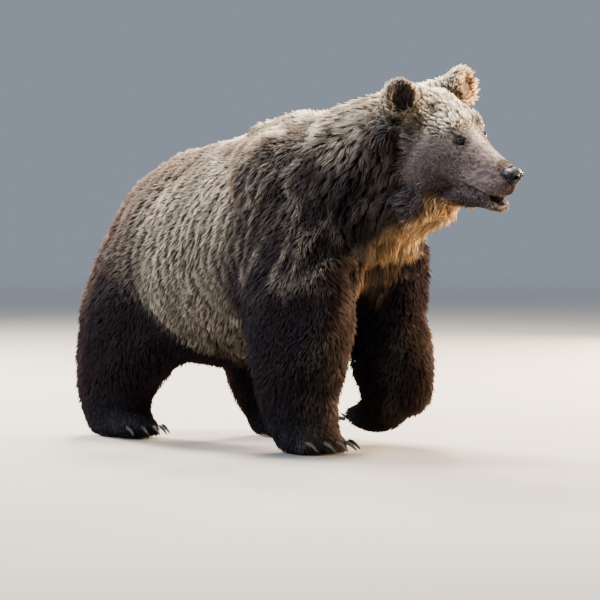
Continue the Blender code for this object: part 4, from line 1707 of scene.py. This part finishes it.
@dataclass(frozen=True)
class CoatFinish:
    """The colours of the whole coat, and of the skin that shows through it."""

    body: Hair = Hair((0.018, 0.013, 0.011), (0.086, 0.063, 0.053))
    # the pale tips, also used for painted highlights on fold crests, the top of the back and the muzzle's
    # bridge
    crest: Hair = Hair((0.140, 0.110, 0.084), (0.690, 0.580, 0.460))
    leg: Hair = Hair((0.010, 0.009, 0.011), (0.036, 0.032, 0.040))
    # the bright golden tips are partly the throat's own warm colour and partly painted glow of backlit hair
    throat: Hair = Hair((0.420, 0.210, 0.070), (0.930, 0.630, 0.310))
    face: Hair = Hair((0.076, 0.052, 0.046), (0.138, 0.100, 0.092))
    bare: Vec = (0.012, 0.010, 0.011)
    lit_pale: Vec = (0.90, 0.80, 0.64)  # light that passes through pale tufts
    lit_dark: Vec = (0.34, 0.17, 0.09)
    lit_share: float = 0.6  # how far they colour the light that passes through
    glow: float = 0.38  # the share of light that a tuft lets through
    roughness: float = 0.60
    skin_roughness: float = 0.7
    tones: tuple[float, float] = (0.78, 1.22)  # how bright the darkest and the palest tufts are
    streaks: tuple[float, float] = (0.55, 1.50)  # the same for streaks of the short coat

    def colour(self, nodes: Nodes, along: object, tone: object, crest: object) -> bpy.types.NodeSocket:
        """The colour of hair at a place along it, with every marking.

        Args:
            nodes: The material's nodes.
            along: How far along the hair, from 0 at its root to 1.
            tone: How bright the hair is, from 0 to 1.
            crest: How pale its tip is, from 0 to 1, painted highlights included.

        Returns:
            The colour.
        """
        dark, warm, face = nodes.stored("marks")
        shade = nodes.mix(along, self.body.root, self.body.tip)
        for share, hair in ((face, self.face), (crest, self.crest), (warm, self.throat), (dark, self.leg)):
            shade = nodes.mix(share, shade, nodes.mix(along, hair.root, hair.tip))
        bright = nodes.remap(tone, 0.0, 1.0, *self.tones)
        streak = nodes.remap(nodes.noise(130.0, 4.0, (1.0, 0.35, 1.0)), 0.30, 0.70, *self.streaks)
        streak = nodes.sums("MULTIPLY_ADD", nodes.sums("SUBTRACT", streak, 1.0), face, 1.0)
        bright = nodes.sums("MULTIPLY", bright, streak)
        grey = nodes.new("CombineColor")
        for socket in grey.inputs[:3]:
            nodes.feed(socket, bright)
        return nodes.mix(1.0, shade, grey.outputs[0], "MULTIPLY")

    def of_tufts(self) -> bpy.types.Material:
        """Hair that pales towards its tip and lets some light through.

        Returns:
            The material.
        """
        nodes = Nodes("coat")
        along, tone, crest = nodes.stored("strand")
        nodes.bump(nodes.noise(420.0), 0.0006, 0.5)
        colour = self.colour(nodes, nodes.remap(along, 0.05, 0.95), tone, crest)
        material = nodes.done(colour, self.roughness, 0.0)
        through = nodes.mix(nodes.stored("marks")[0], self.lit_pale, self.lit_dark)
        nodes.let_light_through(nodes.mix(self.lit_share, colour, through), self.glow)
        return material

    def of_skin(self) -> bpy.types.Material:
        """The short under-fur, and the dark bare skin of lips, lids and soles.

        Returns:
            The material.
        """
        nodes = Nodes("hide")
        bare, tone, crest = nodes.stored("strand")
        fine = nodes.noise(260.0, 4.0)
        short = nodes.remap(nodes.stored("marks")[2], 0.55, 1.0)
        depth = nodes.sums("MULTIPLY", nodes.remap(fine, 0.3, 0.7, 0.25, 0.75),
                           nodes.remap(short, 0.0, 1.0, 0.25, 0.62))
        nodes.bump(fine, 0.0012, 0.6)
        colour = nodes.mix(bare, self.colour(nodes, depth, tone, crest), self.bare)
        return nodes.done(colour, self.skin_roughness, 0.0)


@dataclass(frozen=True)
class EyeFinish:
    """A black pupil, a brown iris with fine spokes, and a dark rim, all wet."""

    pupil: float = 0.20  # where each ends, as a share of the turn from the front to the side
    iris: float = 0.62
    black: Vec = (0.001, 0.001, 0.001)
    browns: tuple[Vec, Vec] = ((0.012, 0.006, 0.003), (0.034, 0.017, 0.008))
    rim: Vec = (0.006, 0.004, 0.004)
    pupil_edge: float = 0.06  # over how much of the turn the colours change
    rim_edge: float = 0.08
    roughness: float = 0.07

    def build(self) -> bpy.types.Material:
        """Makes the material, which reads the turn stored on the ball.

        Returns:
            The material.
        """
        nodes = Nodes("eye")
        turn = nodes.stored("ring")[0]
        spokes = nodes.remap(nodes.noise(900.0, 3.0), 0.3, 0.7)
        iris = nodes.mix(spokes, *self.browns)
        seen = nodes.remap(turn, self.pupil, self.pupil + self.pupil_edge)
        edge = nodes.remap(turn, self.iris - self.rim_edge, self.iris)
        shade = nodes.mix(edge, nodes.mix(seen, self.black, iris), self.rim)
        return nodes.done(shade, self.roughness, 0.30)


@dataclass(frozen=True)
class NoseSkin:
    """Black skin in fine pebbles, with a wet gloss."""

    fresh: Vec = (0.003, 0.003, 0.004)
    worn: Vec = (0.010, 0.009, 0.010)
    roughness: tuple[float, float] = (0.38, 0.55)  # where it is fresh and where it is worn
    wet: float = 0.02
    wet_roughness: float = 0.25

    def build(self) -> bpy.types.Material:
        """Makes the material.

        Returns:
            The material.
        """
        nodes = Nodes("nose_skin")
        where = nodes.new("TexCoord")
        pebbles = nodes.new("TexVoronoi", feature="F1")
        pebbles.inputs["Scale"].default_value = 620.0
        nodes.link(where.outputs["Object"], pebbles.inputs["Vector"])
        height = nodes.sums("SUBTRACT", 1.0, pebbles.outputs["Distance"])
        nodes.bump(height, 0.0005, 0.4)
        wear = nodes.remap(nodes.noise(90.0, 3.0), 0.35, 0.7)
        nodes.shader.inputs["Coat Weight"].default_value = self.wet
        nodes.shader.inputs["Coat Roughness"].default_value = self.wet_roughness
        roughness = nodes.remap(wear, 0.0, 1.0, *self.roughness)
        return nodes.done(nodes.mix(wear, self.fresh, self.worn), roughness, 0.12)


@dataclass(frozen=True)
class ClawHorn:
    """Dark brown horn with fine streaks along it."""

    dark: Vec = (0.012, 0.009, 0.007)
    pale: Vec = (0.046, 0.033, 0.024)
    roughness: float = 0.48

    def build(self) -> bpy.types.Material:
        """Makes the material.

        Returns:
            The material.
        """
        nodes = Nodes("claw_horn")
        streak = nodes.noise(300.0, 3.0, (1.0, 0.18, 0.4))
        nodes.bump(streak, 0.0004, 0.4)
        shade = nodes.mix(nodes.remap(streak, 0.3, 0.7), self.dark, self.pale)
        return nodes.done(shade, self.roughness, 0.12)


@dataclass(frozen=True)
class FloorFinish:
    """A pale matt floor that fades with distance into the colour of the backdrop."""

    colour: Vec = (0.09, 0.09, 0.089)
    roughness: float = 0.95
    fade: tuple[float, float] = (2.5, 12.0)  # where the floor starts and ends its fade

    def build(self, sky: Vec, glow: float) -> bpy.types.Material:
        """Makes the material.

        Args:
            sky: The backdrop's colour.
            glow: The backdrop's strength.

        Returns:
            The material.
        """
        nodes = Nodes("floor")
        material = nodes.done(self.colour, self.roughness)
        where, split = nodes.new("TexCoord"), nodes.new("SeparateXYZ")
        nodes.link(where.outputs["Object"], split.inputs[0])
        x, y = (nodes.sums("MULTIPLY", split.outputs[k], split.outputs[k]) for k in range(2))
        far = nodes.remap(nodes.sums("SQRT", nodes.sums("ADD", x, y)), *self.fade)
        backdrop = nodes.new("Emission")
        backdrop.inputs["Color"].default_value = (*sky, 1)
        backdrop.inputs["Strength"].default_value = glow
        nodes.blend_surface(far, backdrop)
        return material


# ---------------------------------------------------------------- eyes, nose and claws


@dataclass(frozen=True)
class Eyes:
    """Two dark wet eyeballs, each with its pupil towards the way it looks."""

    radius: float = EYE_RADIUS
    cornea: float = 0.0009  # how far the clear front stands out
    cornea_end: float = 0.60  # as a share of the turn from the middle of the front to the side
    segments: int = 40  # faces round the eyeball
    rings: int = 28  # faces from pole to pole
    finish: EyeFinish = EyeFinish()

    def ball(self, side: int) -> bpy.types.Mesh:
        """One eyeball, with the turn from its front stored on it.

        Args:
            side: -1 for the right eye or 1 for the left.

        Returns:
            The mesh, in its place.
        """
        mirror = np.array((side, 1, 1))
        look = mirror * np.array(EYE_LOOK)
        built = bmesh.new()
        bmesh.ops.create_uvsphere(built, u_segments=self.segments, v_segments=self.rings, radius=self.radius)
        in_order(built)
        mesh = mesh_from(built, "eye")
        points = coordinates(mesh)
        turn = np.arccos(np.clip(unit(points) @ look, -1, 1)) / (math.pi / 2)
        points = points + np.outer(self.cornea * ramp(turn, self.cornea_end, 0.0), look)
        moved(mesh, HEAD.world(points + mirror * EYE))
        store(mesh, "ring", np.column_stack([turn] * 3))
        return mesh

    def build(self) -> None:
        """Both eyes, each a piece of its own."""
        finish = self.finish.build()
        for side, name in ((-1, "right"), (1, "left")):
            obj = dressed(f"eyeball_{name}", self.ball(side), finish)
            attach(obj, "root")
            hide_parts(f"eye_{name}")
            LOG.info("%s: %d faces", obj.name, len(obj.data.polygons))


@dataclass(frozen=True)
class Nose:
    """The nose: a broad wet pad with two comma-shaped nostrils and a groove between them."""

    at: Vec = (0.0, -0.344, -0.179)
    half: Vec = (0.0325, 0.0300, 0.0225)
    square: float = 0.78  # under 1, the pad is boxier than an egg
    taper: float = 0.36  # how much narrower its foot is
    stretch: float = 0.45  # how much further down its foot reaches
    lean: float = 0.006  # how far back its foot lies
    tip: float = 0.003  # how far forward its top stands
    nostril: tuple[float, float] = (0.0145, -0.001)  # the middle of its round part
    nostril_half: tuple[float, float] = (0.0068, 0.0058)
    nostril_depth: float = 0.0120
    slit: tuple[float, float] = (0.0235, -0.0075)  # the middle of its tail
    slit_half: tuple[float, float] = (0.0070, 0.0030)
    slit_lean: float = 0.3
    slit_depth: float = 0.0070
    wing: float = 0.0022  # how far the nostril's edge stands out
    groove: float = 0.0028
    groove_half: float = 0.0016
    finish: NoseSkin = NoseSkin()

    def shaped(self, ball: Array) -> Array:
        """Gives a unit ball the shape of the pad.

        Args:
            ball: The points, one a row.

        Returns:
            The points of the pad, from its middle.
        """
        boxed = np.sign(ball) * np.abs(ball) ** self.square
        low = ramp(boxed[:, Z], 0.3, -1.0)
        q = boxed * self.half
        q[:, X] *= 1 - self.taper * low
        q[:, Y] += self.lean * low - self.tip * boxed[:, Z]
        q[:, Z] *= 1 + self.stretch * low
        q[:, Z] -= 0.004 * ramp(ball[:, Y], 0.2, -0.8)
        side, z = np.abs(q[:, X]), q[:, Z]
        (x1, z1), (x2, z2) = self.nostril, self.slit
        hole = np.hypot((side - x1) / self.nostril_half[0], (z - z1) / self.nostril_half[1])
        tail_z = z - z2 + self.slit_lean * (side - x2)
        tail = np.hypot((side - x2) / self.slit_half[0], tail_z / self.slit_half[1])
        depth = self.nostril_depth * ramp(hole, 1.15, 0.55) + self.slit_depth * ramp(tail, 1.2, 0.5)
        depth += self.groove * bell(q[:, X], self.groove_half) * ramp(z, 0.012, -0.004)
        depth -= self.wing * bell(hole - 1.5, 0.35)
        depth *= ramp(ball[:, Y], 0.2, -0.3)
        return q - unit(q * (0.35, 1.0, 0.35)) * depth[:, None]

    def build(self) -> None:
        """The nose, in its place at the end of the muzzle."""
        built = bmesh.new()
        bmesh.ops.create_icosphere(built, subdivisions=6, radius=1.0)
        mesh = mesh_from(built, "nose_pad")
        moved(mesh, HEAD.world(self.shaped(unit(coordinates(mesh))) + np.array(self.at)))
        obj = dressed("nose_pad", mesh, self.finish.build())
        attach(obj, "root")
        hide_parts("nose")
        LOG.info("%s: %d faces", obj.name, len(mesh.polygons))


@dataclass(frozen=True)
class Claws:
    """The claws of one paw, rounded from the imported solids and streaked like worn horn."""

    paw: str  # such as fore or hind
    side: str

    def build(self, finish: bpy.types.Material) -> None:
        """Makes one piece of five claws.

        Args:
            finish: The material of the horn.
        """
        built = bmesh.new()
        nodes = [f"{self.paw}claw_{self.side}_{k}" for k in range(1, 6)]
        for node in nodes:
            built.from_mesh(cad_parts[node].data)
        bmesh.ops.remove_doubles(built, verts=built.verts, dist=SAME_PLACE)
        bmesh.ops.recalc_face_normals(built, faces=built.faces)
        obj = dressed(f"claws_{self.paw}_{self.side}", mesh_from(built, "claws"), finish)
        smooth = obj.modifiers.new("Round", "SUBSURF")
        smooth.levels = smooth.render_levels = 2
        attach(obj, "root")
        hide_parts(*nodes)
        LOG.info("%s: %d claws", obj.name, len(nodes))


# ---------------------------------------------------------------- studio


@dataclass(frozen=True)
class Lamp:
    """A square soft light that faces the middle of the bear."""

    name: str
    at: Vec
    size: float
    power: float
    colour: Vec
    aim: Vec = (0.0, 0.0, 0.6)

    def build(self) -> None:
        """Hangs the light in its place, turned to what it lights."""
        data = bpy.data.lights.new(self.name, "AREA")
        data.shape, data.size = "SQUARE", self.size
        data.energy, data.color = self.power, self.colour
        obj = piece_of(self.name, data)
        obj.location = self.at
        obj.rotation_euler = (Vector(self.at) - Vector(self.aim)).to_track_quat("Z", "Y").to_euler()


DAYLIGHT = (0.76, 0.88, 1.0)
WARM = (1.0, 0.93, 0.82)
LOW_SUN = (1.0, 0.68, 0.40)


@dataclass(frozen=True)
class Studio:
    """A pale floor, soft lights, and the camera."""

    azimuth: float = math.radians(-42)
    elevation: float = math.radians(3)
    distance: float = 16.0
    lens: float = 310.0
    target: Vec = (0.1037, 0.1111, 0.439)
    sky: Vec = (0.72, 0.83, 1.00)
    glow: float = 0.36
    floor_radius: float = 60.0
    floor: FloorFinish = FloorFinish()
    lamps: tuple[Lamp, ...] = (
        Lamp("key", (-5.2, 1.4, 3.9), 2.0, 1300, DAYLIGHT),
        Lamp("top", (0.6, 0.8, 6.2), 1.6, 2800, WARM),
        Lamp("top_front", (2.4, -4.6, 4.6), 1.6, 450, WARM),
        Lamp("rim_back", (3.2, 3.9, 4.4), 1.2, 2200, (1.0, 0.88, 0.70)),
        Lamp("rim_rear", (0.4, 6.1, 1.8), 1.2, 4000, (1.0, 0.84, 0.62)),
        Lamp("rim_front", (5.2, 0.9, 2.4), 1.2, 1400, (1.0, 0.86, 0.68)),
        Lamp("rim_low", (5.2, 2.4, 0.9), 1.0, 1400, (1.0, 0.64, 0.36)),
        Lamp("side_low", (5.0, -2.4, 0.8), 1.4, 2300, LOW_SUN),
    )

    def camera(self) -> None:
        """A long lens, low in front of the bear's right shoulder."""
        flat = math.cos(self.elevation)
        back = Vector((math.sin(self.azimuth) * flat, -math.cos(self.azimuth) * flat,
                       math.sin(self.elevation)))
        data = bpy.data.cameras.new("camera")
        data.lens, data.clip_end = self.lens, 200
        obj = piece_of("camera", data)
        obj.location = Vector(self.target) + back * self.distance
        obj.rotation_euler = back.to_track_quat("Z", "Y").to_euler()
        bpy.context.scene.camera = obj

    def build(self) -> None:
        """Sets up everything round the bear."""
        self.camera()
        for lamp in self.lamps:
            lamp.build()
        world = bpy.data.worlds.new("studio")
        world.use_nodes = True
        shade = world.node_tree.nodes["Background"]
        shade.inputs["Color"].default_value = (*self.sky, 1)
        shade.inputs["Strength"].default_value = self.glow
        bpy.context.scene.world = world
        built = bmesh.new()
        bmesh.ops.create_circle(built, cap_ends=True, segments=96, radius=self.floor_radius)
        obj = dressed("floor", mesh_from(built, "floor"), self.floor.build(self.sky, self.glow))


def main() -> None:
    """Builds the studio, the skin, the face, the claws and the coat, in this order."""
    logging.basicConfig(level=logging.INFO, format="%(message)s")
    Studio().build()
    skin, hide, labels = Skin().build()
    finish = CoatFinish()
    skin.data.materials.clear()
    skin.data.materials.append(finish.of_skin())
    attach(skin, "root")
    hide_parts(*FLESH)
    LOG.info("skin: %d faces", len(skin.data.polygons))
    coat = finish.of_tufts()
    Eyes().build()
    Nose().build()
    horn = ClawHorn().build()
    for paw in ("fore", "hind"):
        for side in ("right", "left"):
            Claws(paw, side).build(horn)
    fur = Fur(hide, skin, labels)
    for number, piece in enumerate(PIECES):
        obj = dressed(piece.name, fur.mesh(piece, number), coat)
        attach(obj, "root")
        LOG.info("%s: %d tufts", piece.name, len(obj.data.vertices) // TUFT_POINTS)


if __name__ == "__main__":
    main()
